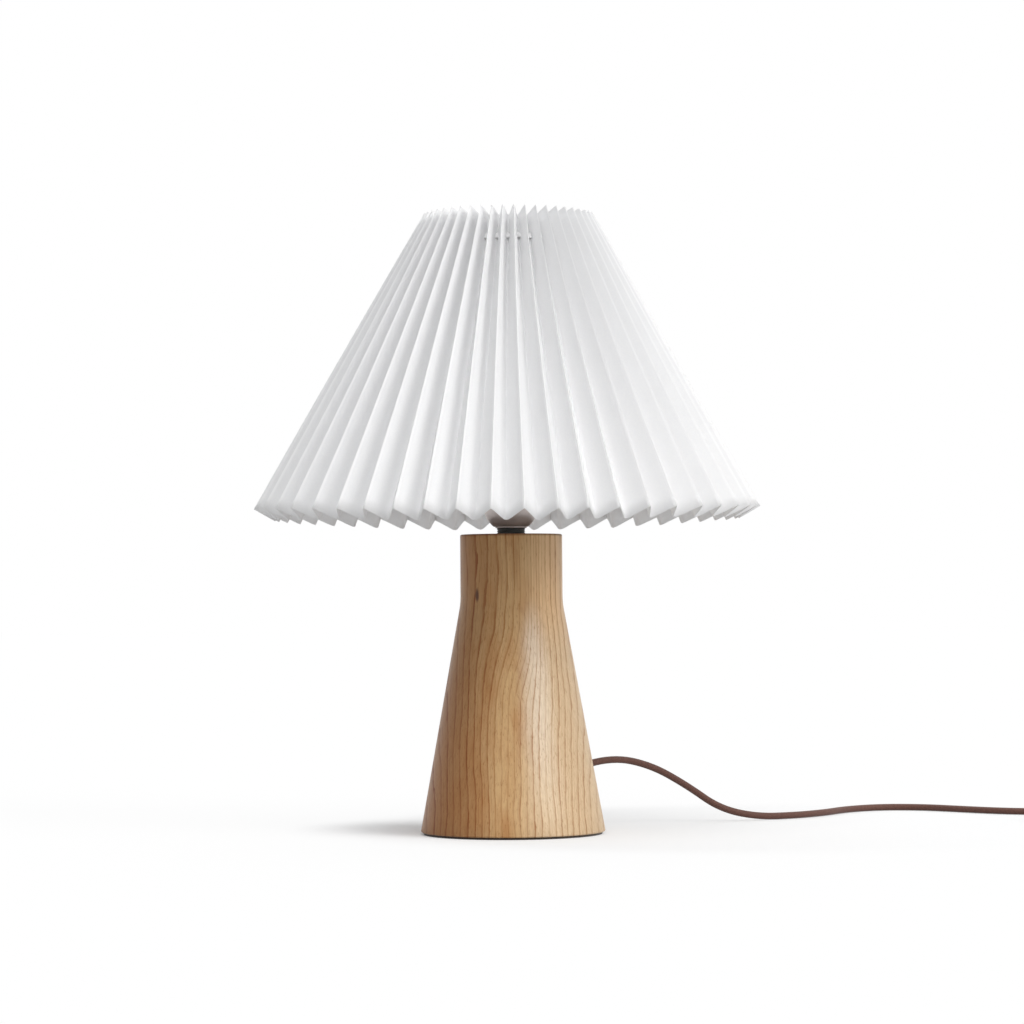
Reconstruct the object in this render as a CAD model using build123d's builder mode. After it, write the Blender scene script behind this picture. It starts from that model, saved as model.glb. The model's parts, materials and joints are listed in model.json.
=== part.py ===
from build123d import *

import os
from math import atan2, cos, degrees, pi, radians, sin, sqrt, tan

# Pleated paper table lamp. Millimetres, +Z up, +Y away from the viewer, +X to the viewer's right.
# The origin is the middle of the underside of the foot, on the surface that the lamp stands on.

# ---------------------------------------------------------------- driving dimensions

# Turned wooden base
felt_thickness = 1.5
foot_radius = 64.5
neck_radius = 35.7
shoulder_height = 161.4  # where the straight flank would reach the neck
shoulder_blend = 60.0
base_height = 209.0
foot_chamfer = 1.0
neck_rounding = 1.2
foot_rim = 14.5  # wood left around the recess underneath
recess_depth = 14.0
cavity_radius = 20.0
cavity_height = 62.0  # roof of the cavity above the surface
felt_inset = 2.2

# Ballast
ballast_thickness = 12.0
ballast_gap = 2.0  # to the wall of the recess
ballast_bore = 17.0
ballast_screw_count = 3
ballast_screw_circle = 34.0
ballast_chamfer = 0.8
screw_shank = 2.1
screw_head = 4.4
screw_head_depth = 2.4
screw_length = 26.0
screw_tip_room = 1.0  # pilot hole beyond the screw's tip
screw_head_sink = 0.1
screw_cross_width = 1.0
screw_cross_depth = 1.4

# Hollow threaded rod, its nuts and its washer
rod_radius = 5.0
rod_bore = 3.5
rod_below_nut = 4.0
rod_above_nut = 3.0
rod_chamfer = 0.5
nut_width = 17.0
nut_height = 5.0
lock_nut_height = 4.0
washer_radius = 14.0
washer_thickness = 2.0
fit_gap = 0.05  # radial clearance of a fit
free_gap = 0.3  # clearance between faces on different bodies
bore_gap = 0.2

# Black collar and lamp holder
collar_radius = 9.8
collar_height = 4.4
collar_groove = 0.5
collar_grooves = 2
step_radius = 11.0
step_height = 1.1
cap_radius = 19.5
cap_floor_radius = 12.2
cap_wall = 1.2
cap_straight = 10.3
skirt_wall = 3.0
skirt_length = 28.0
spigot_length = 6.0
spigot_wall = 1.75
thread_depth = 0.6
thread_pitch = 2.5
thread_groove = 1.0
insert_height = 9.0
ledge_height = 2.0
shell_wall = 0.6
shell_room = 0.8  # between the thread shell and the ledge
contact_strip = 0.8
contact_length = 12.0
contact_width = 4.0
contact_post = 3.0
terminal_size = 5.0
terminal_height = 3.5
terminal_offset = 9.5
terminal_screw_radius = 1.55
terminal_screw_head = 1.4

# Bulb
bulb_cap_radius = 13.2
bulb_cap_length = 19.0
bulb_cap_wall = 0.4
contact_height = 3.0
bulb_foot_height = 6.0  # contact button and black insulator under the metal cap
button_radius = 4.0
button_height = 1.2
button_flare = 0.4
insulator_inset = 1.2
globe_radius = 30.0
globe_wall = 1.0
globe_rise = 75.0  # from the tip of the contact to the middle of the globe
housing_rim = 24.0
housing_wall = 1.5
housing_lip = 1.2  # the housing overhangs the metal cap by this
housing_collar = 2.0
housing_plug_in = 5.0
led_plate_gap = 1.0
led_plate_sink = 0.6
led_plate_thickness = 1.6
led_count = 10
led_size = 3.0
led_height = 0.8
led_circle = 12.9

# Shade carrier
carrier_rise = 14.0  # above the holder's cap
carrier_thickness = 1.6
carrier_width = 7.2
ring_nut_width = 3.2
ring_nut_height = 4.0
ring_nut_flange = 1.5  # the lower ring is this much wider
nut_gap = 0.1
arm_count = 3
arm_radius = 1.25
arm_clearance = 12.0  # arm to globe
arm_shoulder = 20.0
arm_stem = 8.0
arm_inset = 0.8  # from the ring's edge to the foot of an arm
arm_bends = [4.0, 8.0, 30.0]
hoop_rise = 158.0  # above the carrier's ring
hoop_wire = 1.5

# Pleated paper shade
pleat_count = 48
paper_thickness = 0.6
shade_top_radius = 59.5
shade_foot_radius = 177.0
shade_squeeze = 0.05  # the foot is this much narrower from front to back
shade_above_hoop = 22.0
shade_slant = 237.5
pleat_depth_top = 14.0
pleat_depth_foot = 16.5
ribbon_height = 4.0
ribbon_thickness = 0.5
ribbon_share = 0.3  # how far out of the folds the ribbon lies
slot_gap = 0.3

# Cord, its bush and its clamp
cord_radius = 2.5
exit_height = 43.5
exit_angle = 40.0
bush_flange_radius = 6.8
bush_flange = 1.5
bush_barrel_radius = 4.4
bush_barrel = 8.0
bush_nose = 14.0
bush_tip_radius = 3.2
spot_depth = 0.8
jacket_end = 14.0  # distance of the jacket's end from the lamp's axis
grip_radius = 6.0
grip_thickness = 6.0
grip_inset = 1.4
lead_radius = 1.1
lead_offset = 1.35
lead_bend = 8.0
lead_top_bend = 3.0

# Inline switch
switch_length = 58.0
switch_width = 24.0
switch_height = 16.0
switch_split = 6.5
switch_wall = 2.0
switch_corner = 5.0
rocker_length = 20.0
rocker_end_gap = 0.5
rocker_width = 11.0
rocker_travel = 15.0
rocker_rise = 2.4
rocker_depth = 5.0
rocker_shoulder = 1.5
rocker_dip = 0.4
switch_foot_chamfer = 0.8
switch_top_fillet = 2.5
contact_block_length = 8.0
contact_block_place = 16.0  # from the middle of the switch
contact_block_gap = 0.5
pivot_radius = 1.2
switch_screw_radius = 1.5
switch_screw_place = 24.4
switch_screw_gap = 0.1

# Coil of put-away cord, its tie and the plug
coil_radius = 28.5  # to the middle of the turns
coil_width = 20.0
coil_thickness = 10.0
coil_cord_drop = 0.4  # the cord leaves the coil this far under its top
coil_cord_inset = 1.0  # and this far inside its outermost turn
coil_to_switch = 54.0
tie_width = 8.0
tie_thickness = 1.0
tie_slack = 1.5
tie_corner = 2.0
plug_clearance = 30.0
plug_length = 36.0
plug_width = 34.0
plug_thickness = 13.7
plug_tail_width = 12.0
plug_relief = 14.0
plug_taper = 16.2  # length over which the plug widens
plug_corner = 2.5
plug_edge = 1.2
relief_back_wall = 2.2
relief_tip_wall = 0.8
pin_radius = 2.0
pin_core = 1.4
pin_length = 19.0
pin_sleeve = 10.0
pin_spacing = 18.6
pin_root = 8.0

# The cord's route over the surface, from the bush to the switch. Chosen by eye.
cord_floor = 2.6
bend_share = 0.45
straight_run = 22.0
cord_route = [
    (100.0, 81.0, 43.0),
    (127.0, 98.0, 27.0),
    (151.0, 110.0, 9.5),
    (179.0, 120.0, cord_floor),
    (209.0, 134.0, cord_floor),
    (233.0, 162.0, cord_floor),
    (252.0, 198.0, cord_floor),
    (281.0, 222.0, cord_floor),
    (314.0, 216.0, cord_floor),
    (340.0, 189.0, cord_floor),
    (365.0, 165.0, cord_floor),
    (391.0, 155.0, cord_floor),
    (409.0, 139.0, 4.0),
    (415.0, 121.0, 6.5),
]
switch_start = (415.0, 104.0, switch_split)

# ---------------------------------------------------------------- derived places

os.makedirs("parts", exist_ok=True)

flank_slope = (foot_radius - neck_radius) / (shoulder_height - felt_thickness)
exit_tilt = degrees(atan2(flank_slope, 1))
recess_radius = foot_radius - foot_rim
recess_roof = felt_thickness + recess_depth
ballast_radius = recess_radius - ballast_gap
ballast_low = recess_roof - ballast_thickness
washer_low = cavity_height - washer_thickness
nut_low = washer_low - nut_height
rod_low = nut_low - rod_below_nut
rod_hole = rod_radius + bore_gap
threaded_hole = rod_radius + fit_gap

cap_low = base_height + collar_height
cap_floor = cap_low + step_height
cap_equator = cap_floor + sqrt(cap_radius**2 - cap_floor_radius**2)
cap_top = cap_equator + cap_straight
cap_inner = cap_radius - cap_wall
lock_nut_low = cap_floor + cap_wall
rod_top = lock_nut_low + lock_nut_height + rod_above_nut
skirt_low = cap_top - spigot_length
skirt_inner = cap_radius - skirt_wall
spigot_outer = cap_inner - fit_gap
spigot_inner = spigot_outer - spigot_wall
insert_radius = spigot_inner - fit_gap
insert_low = cap_top - insert_height
shell_inner = bulb_cap_radius + free_gap
shell_outer = shell_inner + shell_wall
ledge_inner = shell_outer + shell_room
terminal_low = insert_low - terminal_height

contact_tip = cap_top + contact_height
bulb_cap_low = contact_tip + bulb_foot_height
bulb_cap_top = bulb_cap_low + bulb_cap_length
globe_centre = contact_tip + globe_rise
housing_top = globe_centre - sqrt(globe_radius**2 - housing_rim**2)

carrier_height = cap_top + carrier_rise
carrier_bore = cap_radius + free_gap
carrier_outer = carrier_bore + carrier_width
arm_foot = carrier_outer - arm_radius - arm_inset
arm_reach = globe_radius + arm_clearance
carrier_top = carrier_height + carrier_thickness

hoop_height = carrier_height + hoop_rise
shade_top = hoop_height + shade_above_hoop


def flank_radius(height):
    """Radius of the base's straight flank at a height above the surface."""
    return foot_radius - flank_slope * (height - felt_thickness)


def corner_radii(points):
    """Radius of each bend of a route: 0.45 of the shorter run over the tangent of half the turn."""
    radii = []
    for before, at, after in zip(points, points[1:], points[2:]):
        first = Vector(*at) - Vector(*before)
        second = Vector(*after) - Vector(*at)
        half_turn = radians(first.get_angle(second)) / 2
        radii.append(bend_share * min(first.length, second.length) / tan(half_turn))
    return radii


def bend_list(points):
    """The bend radii with one entry for each end of the route, which has no bend."""
    radii = corner_radii(points)
    print("bend radii", [round(radius) for radius in radii])
    return radii


def hex_radius(width):
    """Corner radius of a hexagon from its width across flats."""
    return width / 2 / cos(pi / 6)


def finish(part, name):
    part.label = name
    export_step(part, f"parts/{name}.step")


# ---------------------------------------------------------------- base

exit_out = Vector(
    cos(radians(exit_angle)) * cos(radians(exit_tilt)),
    sin(radians(exit_angle)) * cos(radians(exit_tilt)),
    sin(radians(exit_tilt)),
)
exit_across = Vector(-sin(radians(exit_angle)), cos(radians(exit_angle)), 0)
exit_point = Vector(
    flank_radius(exit_height) * cos(radians(exit_angle)),
    flank_radius(exit_height) * sin(radians(exit_angle)),
    exit_height,
)


def exit_plane(distance):
    """Plane across the cord's hole, at a distance outside the flank of the base."""
    return Plane(exit_point + exit_out * distance, x_dir=exit_across, z_dir=exit_out)


with BuildPart() as base_wood:
    with BuildSketch(Plane.XZ) as turned_outline:
        with BuildLine():
            Polyline(
                (0, felt_thickness),
                (foot_radius, felt_thickness),
                (neck_radius, shoulder_height),
                (neck_radius, base_height),
                (0, base_height),
                close=True,
            )
        make_face()
        shoulder = turned_outline.vertices().sort_by_distance((neck_radius, shoulder_height))[0]
        fillet(shoulder, shoulder_blend)
        rim = turned_outline.vertices().sort_by_distance((neck_radius, base_height))[0]
        fillet(rim, neck_rounding)
        toe = turned_outline.vertices().sort_by_distance((foot_radius, felt_thickness))[0]
        chamfer(toe, foot_chamfer)
    revolve(axis=Axis.Z)
    with BuildSketch(Plane.XY.offset(felt_thickness)):
        Circle(recess_radius)
    extrude(amount=recess_depth, mode=Mode.SUBTRACT)
    with BuildSketch(Plane.XY.offset(recess_roof)):
        Circle(cavity_radius)
    extrude(amount=cavity_height - recess_roof, mode=Mode.SUBTRACT)
    with BuildSketch(Plane.XY.offset(cavity_height)):
        Circle(rod_hole)
    extrude(amount=base_height - cavity_height, mode=Mode.SUBTRACT)
    with BuildSketch(exit_plane(-spot_depth)):
        Circle(bush_flange_radius + bore_gap)
    extrude(amount=bush_flange + bush_nose, mode=Mode.SUBTRACT)
    with BuildSketch(exit_plane(-spot_depth)):
        Circle(bush_barrel_radius + fit_gap)
    extrude(amount=-(flank_radius(exit_height) - cavity_radius / 2), mode=Mode.SUBTRACT)
    with BuildSketch(Plane.XY.offset(recess_roof)):
        with PolarLocations(ballast_screw_circle, ballast_screw_count):
            Circle(screw_shank + fit_gap)
    extrude(amount=screw_length - ballast_thickness + screw_tip_room, mode=Mode.SUBTRACT)
finish(base_wood.part, "base_wood")

with BuildPart() as base_felt:
    with BuildSketch():
        Circle(foot_radius - felt_inset)
    extrude(amount=felt_thickness)
finish(base_felt.part, "base_felt")

with BuildPart() as ballast_ring:
    with BuildSketch(Plane.XY.offset(ballast_low)):
        Circle(ballast_radius)
        Circle(ballast_bore, mode=Mode.SUBTRACT)
    extrude(amount=ballast_thickness)
    chamfer(ballast_ring.edges().filter_by(GeomType.CIRCLE).group_by(Axis.Z)[0], ballast_chamfer)
    with Locations(Plane((0, 0, ballast_low), x_dir=(1, 0, 0), z_dir=(0, 0, -1))):
        with PolarLocations(ballast_screw_circle, ballast_screw_count):
            CounterSinkHole(screw_shank + bore_gap, screw_head + bore_gap)
finish(ballast_ring.part, "ballast_ring")

with BuildPart() as ballast_screws:
    with BuildSketch(Plane.XZ):
        with BuildLine():
            Polyline(
                (ballast_screw_circle, ballast_low + screw_head_sink),
                (ballast_screw_circle + screw_head, ballast_low + screw_head_sink),
                (ballast_screw_circle + screw_shank, ballast_low + screw_head_depth),
                (ballast_screw_circle + screw_shank, ballast_low + screw_length - screw_shank),
                (ballast_screw_circle, ballast_low + screw_length),
                close=True,
            )
        make_face()
    revolve(axis=Axis((ballast_screw_circle, 0, 0), (0, 0, 1)))
    with BuildSketch(Plane.XY.offset(ballast_low)):
        with Locations((ballast_screw_circle, 0)):
            Rectangle(screw_cross_width, screw_head)
            Rectangle(screw_head, screw_cross_width)
    extrude(amount=screw_cross_depth, mode=Mode.SUBTRACT)
    first_screw = ballast_screws.part
    for copy_number in range(1, ballast_screw_count):
        add(first_screw.rotate(Axis.Z, 360 / ballast_screw_count * copy_number))
finish(ballast_screws.part, "ballast_screws")

# ---------------------------------------------------------------- threaded rod and hardware

with BuildPart() as threaded_rod:
    with BuildSketch(Plane.XY.offset(rod_low)):
        Circle(rod_radius)
        Circle(rod_bore, mode=Mode.SUBTRACT)
    extrude(amount=rod_top - rod_low)
    chamfer(threaded_rod.edges().filter_by(GeomType.CIRCLE).group_by(SortBy.RADIUS)[-1], rod_chamfer)
finish(threaded_rod.part, "threaded_rod")

with BuildPart() as rod_washer:
    with BuildSketch(Plane.XY.offset(washer_low)):
        Circle(washer_radius)
        Circle(rod_hole, mode=Mode.SUBTRACT)
    extrude(amount=washer_thickness)
finish(rod_washer.part, "rod_washer")

with BuildPart() as rod_nut:
    with BuildSketch(Plane.XY.offset(nut_low)):
        RegularPolygon(hex_radius(nut_width), 6)
        Circle(threaded_hole, mode=Mode.SUBTRACT)
    extrude(amount=nut_height)
finish(rod_nut.part, "rod_nut")

with BuildPart() as neck_collar:
    with BuildSketch(Plane.XY.offset(base_height)):
        Circle(collar_radius)
        Circle(threaded_hole, mode=Mode.SUBTRACT)
    extrude(amount=collar_height)
    for groove in range(1, collar_grooves + 1):
        groove_middle = collar_height * groove / (collar_grooves + 1)
        with BuildSketch(Plane.XY.offset(base_height + groove_middle - collar_groove / 2)):
            Circle(collar_radius + 1)
            Circle(collar_radius - collar_groove, mode=Mode.SUBTRACT)
        extrude(amount=collar_groove, mode=Mode.SUBTRACT)
finish(neck_collar.part, "neck_collar")

# ---------------------------------------------------------------- lamp holder

with BuildPart() as holder_cap:
    with BuildSketch(Plane.XZ):
        with BuildLine():
            inner_floor_radius = sqrt(cap_inner**2 - (cap_equator - lock_nut_low) ** 2)
            Line((threaded_hole, cap_low), (step_radius, cap_low))
            Line((step_radius, cap_low), (step_radius, cap_floor))
            Line((step_radius, cap_floor), (cap_floor_radius, cap_floor))
            RadiusArc((cap_floor_radius, cap_floor), (cap_radius, cap_equator), -cap_radius)
            Line((cap_radius, cap_equator), (cap_radius, cap_top))
            Line((cap_radius, cap_top), (cap_inner, cap_top))
            Line((cap_inner, cap_top), (cap_inner, cap_equator))
            RadiusArc((cap_inner, cap_equator), (inner_floor_radius, lock_nut_low), cap_inner)
            Line((inner_floor_radius, lock_nut_low), (threaded_hole, lock_nut_low))
            Line((threaded_hole, lock_nut_low), (threaded_hole, cap_low))
        make_face()
    revolve(axis=Axis.Z)
finish(holder_cap.part, "holder_cap")

with BuildPart() as lock_nut:
    with BuildSketch(Plane.XY.offset(lock_nut_low)):
        RegularPolygon(hex_radius(nut_width), 6)
        Circle(threaded_hole, mode=Mode.SUBTRACT)
    extrude(amount=lock_nut_height)
finish(lock_nut.part, "lock_nut")

with BuildPart() as holder_skirt:
    with BuildSketch(Plane.XY.offset(skirt_low)):
        Circle(spigot_outer)
        Circle(spigot_inner, mode=Mode.SUBTRACT)
    extrude(amount=spigot_length)
    with BuildSketch(Plane.XY.offset(cap_top)):
        Circle(cap_radius)
        Circle(ledge_inner, mode=Mode.SUBTRACT)
    extrude(amount=ledge_height)
    with BuildSketch(Plane.XY.offset(cap_top + ledge_height)):
        Circle(cap_radius)
        Circle(skirt_inner, mode=Mode.SUBTRACT)
    extrude(amount=skirt_length - ledge_height)
    thread_turns = int((skirt_length - ledge_height - thread_groove) / thread_pitch)
    for turn in range(thread_turns):
        with BuildSketch(Plane.XY.offset(cap_top + ledge_height + thread_pitch * turn)):
            Circle(cap_radius + 1)
            Circle(cap_radius - thread_depth, mode=Mode.SUBTRACT)
        extrude(amount=thread_groove, mode=Mode.SUBTRACT)
finish(holder_skirt.part, "holder_skirt")

with BuildPart() as holder_insert:
    with BuildSketch(Plane.XY.offset(insert_low)):
        Circle(insert_radius)
    extrude(amount=insert_height)
finish(holder_insert.part, "holder_insert")

with BuildPart() as holder_thread_shell:
    with BuildSketch(Plane.XY.offset(cap_top)):
        Circle(shell_outer)
        Circle(shell_inner, mode=Mode.SUBTRACT)
    extrude(amount=skirt_length - ledge_height)
finish(holder_thread_shell.part, "holder_thread_shell")

with BuildPart() as holder_contact:
    spring_height = contact_height - free_gap
    with BuildSketch(Plane.XY.offset(cap_top)):
        Rectangle(contact_post, contact_post)
    extrude(amount=spring_height)
    with BuildSketch(Plane.XY.offset(cap_top + spring_height - contact_strip)):
        SlotOverall(contact_length, contact_width)
    extrude(amount=contact_strip)
finish(holder_contact.part, "holder_contact")


def terminal_plane(side, height):
    """Horizontal plane at one of the two terminals under the insert."""
    spot = exit_across * (side * terminal_offset)
    return Plane((spot.X, spot.Y, height), x_dir=exit_across, z_dir=(0, 0, 1))


with BuildPart() as holder_terminals:
    for side in (-1, 1):
        with BuildSketch(terminal_plane(side, terminal_low)):
            Rectangle(terminal_size, terminal_size)
        extrude(amount=terminal_height)
finish(holder_terminals.part, "holder_terminals")

with BuildPart() as terminal_screws:
    for side in (-1, 1):
        face_spot = exit_across * (side * (terminal_offset + terminal_size / 2))
        screw_middle = terminal_low + terminal_height / 2
        out = exit_across * side
        with BuildSketch(Plane((face_spot.X, face_spot.Y, screw_middle), z_dir=out)):
            Circle(terminal_screw_radius)
        extrude(amount=terminal_screw_head)
finish(terminal_screws.part, "terminal_screws")

# ---------------------------------------------------------------- bulb

with BuildPart() as bulb_contact:
    with BuildSketch(Plane.XZ):
        with BuildLine():
            Polyline(
                (0, contact_tip),
                (button_radius, contact_tip),
                (button_radius + button_flare, contact_tip + button_height),
                (bulb_cap_radius - insulator_inset, bulb_cap_low),
                (0, bulb_cap_low),
                close=True,
            )
        make_face()
    revolve(axis=Axis.Z)
finish(bulb_contact.part, "bulb_contact")

with BuildPart() as bulb_cap:
    with BuildSketch(Plane.XY.offset(bulb_cap_low)):
        Circle(bulb_cap_radius)
        Circle(bulb_cap_radius - bulb_cap_wall, mode=Mode.SUBTRACT)
    extrude(amount=bulb_cap_length)
    with BuildSketch(Plane.XY.offset(bulb_cap_low)):
        Circle(bulb_cap_radius - bulb_cap_wall)
    extrude(amount=bulb_cap_wall)
finish(bulb_cap.part, "bulb_cap")

with BuildPart() as bulb_housing:
    plug_in_radius = bulb_cap_radius - bulb_cap_wall - fit_gap
    flare_low = bulb_cap_top + housing_collar
    with BuildSketch(Plane.XZ):
        with BuildLine():
            Polyline(
                (plug_in_radius - housing_wall, bulb_cap_top - housing_plug_in),
                (plug_in_radius, bulb_cap_top - housing_plug_in),
                (plug_in_radius, bulb_cap_top),
                (bulb_cap_radius + housing_lip, bulb_cap_top),
                (bulb_cap_radius + housing_lip, flare_low),
                (housing_rim, housing_top),
                (housing_rim - housing_wall, housing_top),
                (plug_in_radius - housing_wall, flare_low),
                close=True,
            )
        make_face()
    revolve(axis=Axis.Z)
finish(bulb_housing.part, "bulb_housing")

with BuildPart() as bulb_globe:
    globe_inner = globe_radius - globe_wall
    globe_mouth = sqrt(globe_inner**2 - (globe_centre - housing_top) ** 2)
    with BuildSketch(Plane.XZ):
        with BuildLine():
            rim_angle = degrees(atan2(housing_top - globe_centre, housing_rim))
            mouth_angle = degrees(atan2(housing_top - globe_centre, globe_mouth))
            crown = CenterArc((0, globe_centre), globe_radius, rim_angle, 90 - rim_angle)
            hollow = CenterArc((0, globe_centre), globe_inner, mouth_angle, 90 - mouth_angle)
            Line(crown @ 1, hollow @ 1)
            Line(crown @ 0, hollow @ 0)
        make_face()
    revolve(axis=Axis.Z)
finish(bulb_globe.part, "bulb_globe")

with BuildPart() as bulb_led_plate:
    plate_low = housing_top - led_plate_sink
    with BuildSketch(Plane.XY.offset(plate_low)):
        Circle(housing_rim - housing_wall - led_plate_gap)
    extrude(amount=led_plate_thickness)
    with BuildSketch(Plane.XY.offset(plate_low + led_plate_thickness)):
        with PolarLocations(led_circle, led_count):
            Rectangle(led_size, led_size)
    extrude(amount=led_height)
finish(bulb_led_plate.part, "bulb_led_plate")

# ---------------------------------------------------------------- shade carrier

with BuildPart() as shade_ring_lower:
    with BuildSketch(Plane.XY.offset(carrier_height - nut_gap - ring_nut_height)):
        Circle(cap_radius + fit_gap + ring_nut_width + ring_nut_flange)
        Circle(cap_radius + fit_gap, mode=Mode.SUBTRACT)
    extrude(amount=ring_nut_height)
finish(shade_ring_lower.part, "shade_ring_lower")

with BuildPart() as shade_ring_upper:
    with BuildSketch(Plane.XY.offset(carrier_top + nut_gap)):
        Circle(cap_radius + fit_gap + ring_nut_width)
        Circle(cap_radius + fit_gap, mode=Mode.SUBTRACT)
    extrude(amount=ring_nut_height)
finish(shade_ring_upper.part, "shade_ring_upper")

with BuildPart() as carrier_ring:
    with BuildSketch(Plane.XY.offset(carrier_height)):
        Circle(carrier_outer)
        Circle(carrier_bore, mode=Mode.SUBTRACT)
    extrude(amount=carrier_thickness)
finish(carrier_ring.part, "carrier_ring")


def foot_reach(angle):
    """Radius of the shade's foot at an angle from the side, the squeeze being front to back."""
    return shade_foot_radius * (1 - shade_squeeze * sin(radians(angle)) ** 2)


def fold_ends(angle):
    """Top and foot of the ridge line at an angle, each as radius and height."""
    foot = foot_reach(angle)
    drop = sqrt(shade_slant**2 - (foot - shade_top_radius) ** 2)
    return (shade_top_radius, shade_top), (foot, shade_top - drop)


def inward(angle):
    """Direction square to the slant and into the shade, as radius and height."""
    top, foot = fold_ends(angle)
    return (foot[1] - top[1]) / shade_slant, (top[0] - foot[0]) / shade_slant


def valley_radius(angle, height):
    """Radius of the bottom of the valleys at an angle and a height."""
    top, foot = fold_ends(angle)
    step_r, step_z = inward(angle)
    low_r = foot[0] + step_r * pleat_depth_foot
    low_z = foot[1] + step_z * pleat_depth_foot
    high_r = top[0] + step_r * pleat_depth_top
    high_z = top[1] + step_z * pleat_depth_top
    return high_r + (low_r - high_r) * (high_z - height) / (high_z - low_z)


front_slope = (foot_reach(90) - shade_top_radius) / shade_slant
hoop_inset = (hoop_wire + free_gap) / sqrt(1 - front_slope**2)
hoop_radius = valley_radius(90, hoop_height) - hoop_inset

with BuildPart() as carrier_hoop:
    with BuildSketch(Plane.XZ):
        with Locations((hoop_radius, hoop_height)):
            Circle(hoop_wire)
    revolve(axis=Axis.Z)
finish(carrier_hoop.part, "carrier_hoop")

with BuildPart() as carrier_arms:
    for arm in range(arm_count):
        turn = 90 + 360 / arm_count * arm
        upright = Plane.XZ.rotated((0, 0, turn))
        with BuildLine(upright) as arm_line:
            FilletPolyline(
                (arm_foot, carrier_top),
                (arm_foot, carrier_top + arm_stem),
                (arm_reach, carrier_top + arm_shoulder),
                (arm_reach, globe_centre),
                (hoop_radius, hoop_height),
                radius=arm_bends,
            )
        with BuildSketch(Plane(arm_line.line @ 0, z_dir=(0, 0, 1))):
            Circle(arm_radius)
        sweep(path=arm_line.line)
    add(carrier_hoop.part, mode=Mode.SUBTRACT)
finish(carrier_arms.part, "carrier_arms")

# ---------------------------------------------------------------- pleated paper shade


def fold_line(number):
    """Corners of the paper at one fold: outer and inner, at the top and at the foot."""
    half_pitch = 180 / pleat_count
    angle = -90 + half_pitch * number
    top, foot = fold_ends(angle)
    step_r, step_z = inward(angle)
    corners = []
    for (radius, height), depth in ((top, pleat_depth_top), (foot, pleat_depth_foot)):
        half_chord = (radius - depth / 2) * sin(radians(half_pitch))
        wall = paper_thickness / sin(atan2(half_chord, depth))
        start = 0 if number % 2 else depth - wall
        for along in (start, start + wall):
            reach = radius + step_r * along
            corners.append(
                Vector(
                    reach * cos(radians(angle)),
                    reach * sin(radians(angle)),
                    height + step_z * along,
                )
            )
    return corners


def quad(first, second, third, fourth):
    """Two flat triangles that share the diagonal from the first corner to the third."""
    return [
        Face(Wire.make_polygon([first, second, third])),
        Face(Wire.make_polygon([first, third, fourth])),
    ]


def paper_skin():
    """Every panel of the paper: its outside, its inside and its two cut edges."""
    folds = [fold_line(number) for number in range(2 * pleat_count)]
    faces = []
    for here, there in zip(folds, folds[1:] + folds[:1]):
        top_out, top_in, foot_out, foot_in = here
        next_top_out, next_top_in, next_foot_out, next_foot_in = there
        faces += quad(top_out, foot_out, next_foot_out, next_top_out)
        faces += quad(top_in, next_top_in, next_foot_in, foot_in)
        faces += quad(top_out, next_top_out, next_top_in, top_in)
        faces += quad(foot_out, foot_in, next_foot_in, next_foot_out)
    return faces


ridge_at_ribbon = shade_top_radius + shade_above_hoop * (
    (shade_foot_radius - shade_top_radius)
    / sqrt(shade_slant**2 - (shade_foot_radius - shade_top_radius) ** 2)
)
valley_at_ribbon = valley_radius(0, hoop_height)
ribbon_radius = valley_at_ribbon + ribbon_share * (ridge_at_ribbon - valley_at_ribbon)
ribbon_lean = degrees(atan2(ridge_at_ribbon - shade_top_radius, shade_above_hoop))


def ribbon_band(thickness, height):
    """Conical band through the folds, leaning with the shade."""
    with BuildPart() as band:
        with BuildSketch(Plane.XZ):
            with Locations((ribbon_radius, hoop_height)):
                Rectangle(thickness, height, rotation=ribbon_lean)
        revolve(axis=Axis.Z)
    return band.part


slot_cutter = ribbon_band(ribbon_thickness + 2 * slot_gap, ribbon_height + 2 * slot_gap)
shade_ribbon_part = ribbon_band(ribbon_thickness, ribbon_height)
finish(shade_ribbon_part, "shade_ribbon")

with BuildPart() as shade_paper:
    add(Solid(Shell(paper_skin())))
    add(slot_cutter, mode=Mode.SUBTRACT)
finish(shade_paper.part, "shade_paper")

# ---------------------------------------------------------------- cord exit and inner leads

bush_tip = bush_nose + bush_flange - spot_depth
cord_exit = exit_point + exit_out * bush_tip

with BuildPart() as cord_bush:
    with BuildSketch(exit_plane(-spot_depth)):
        Circle(bush_flange_radius)
    extrude(amount=bush_flange)
    with BuildSketch(exit_plane(-spot_depth)):
        Circle(bush_barrel_radius)
    extrude(amount=-bush_barrel)
    with BuildSketch(exit_plane(bush_flange - spot_depth)):
        Circle(bush_barrel_radius)
    with BuildSketch(exit_plane(bush_tip)):
        Circle(bush_tip_radius)
    loft()
    with BuildSketch(exit_plane(bush_tip)):
        Circle(cord_radius + fit_gap)
    extrude(amount=-(bush_tip + bush_barrel + 2), mode=Mode.SUBTRACT)
finish(cord_bush.part, "cord_bush")

jacket_length = bush_tip + (flank_radius(exit_height) - jacket_end) / cos(radians(exit_tilt))
with BuildPart() as cord_inside:
    with BuildSketch(exit_plane(bush_tip)):
        Circle(cord_radius)
    extrude(amount=-jacket_length)
finish(cord_inside.part, "cord_inside")

grip_depth = (flank_radius(exit_height) - cavity_radius + grip_inset) / cos(radians(exit_tilt))
with BuildPart() as cord_grip:
    with BuildSketch(exit_plane(-grip_depth)):
        Circle(grip_radius)
        Circle(cord_radius + fit_gap, mode=Mode.SUBTRACT)
    extrude(amount=-grip_thickness)
finish(cord_grip.part, "cord_grip")

jacket_tip = cord_exit - exit_out * jacket_length


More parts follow.
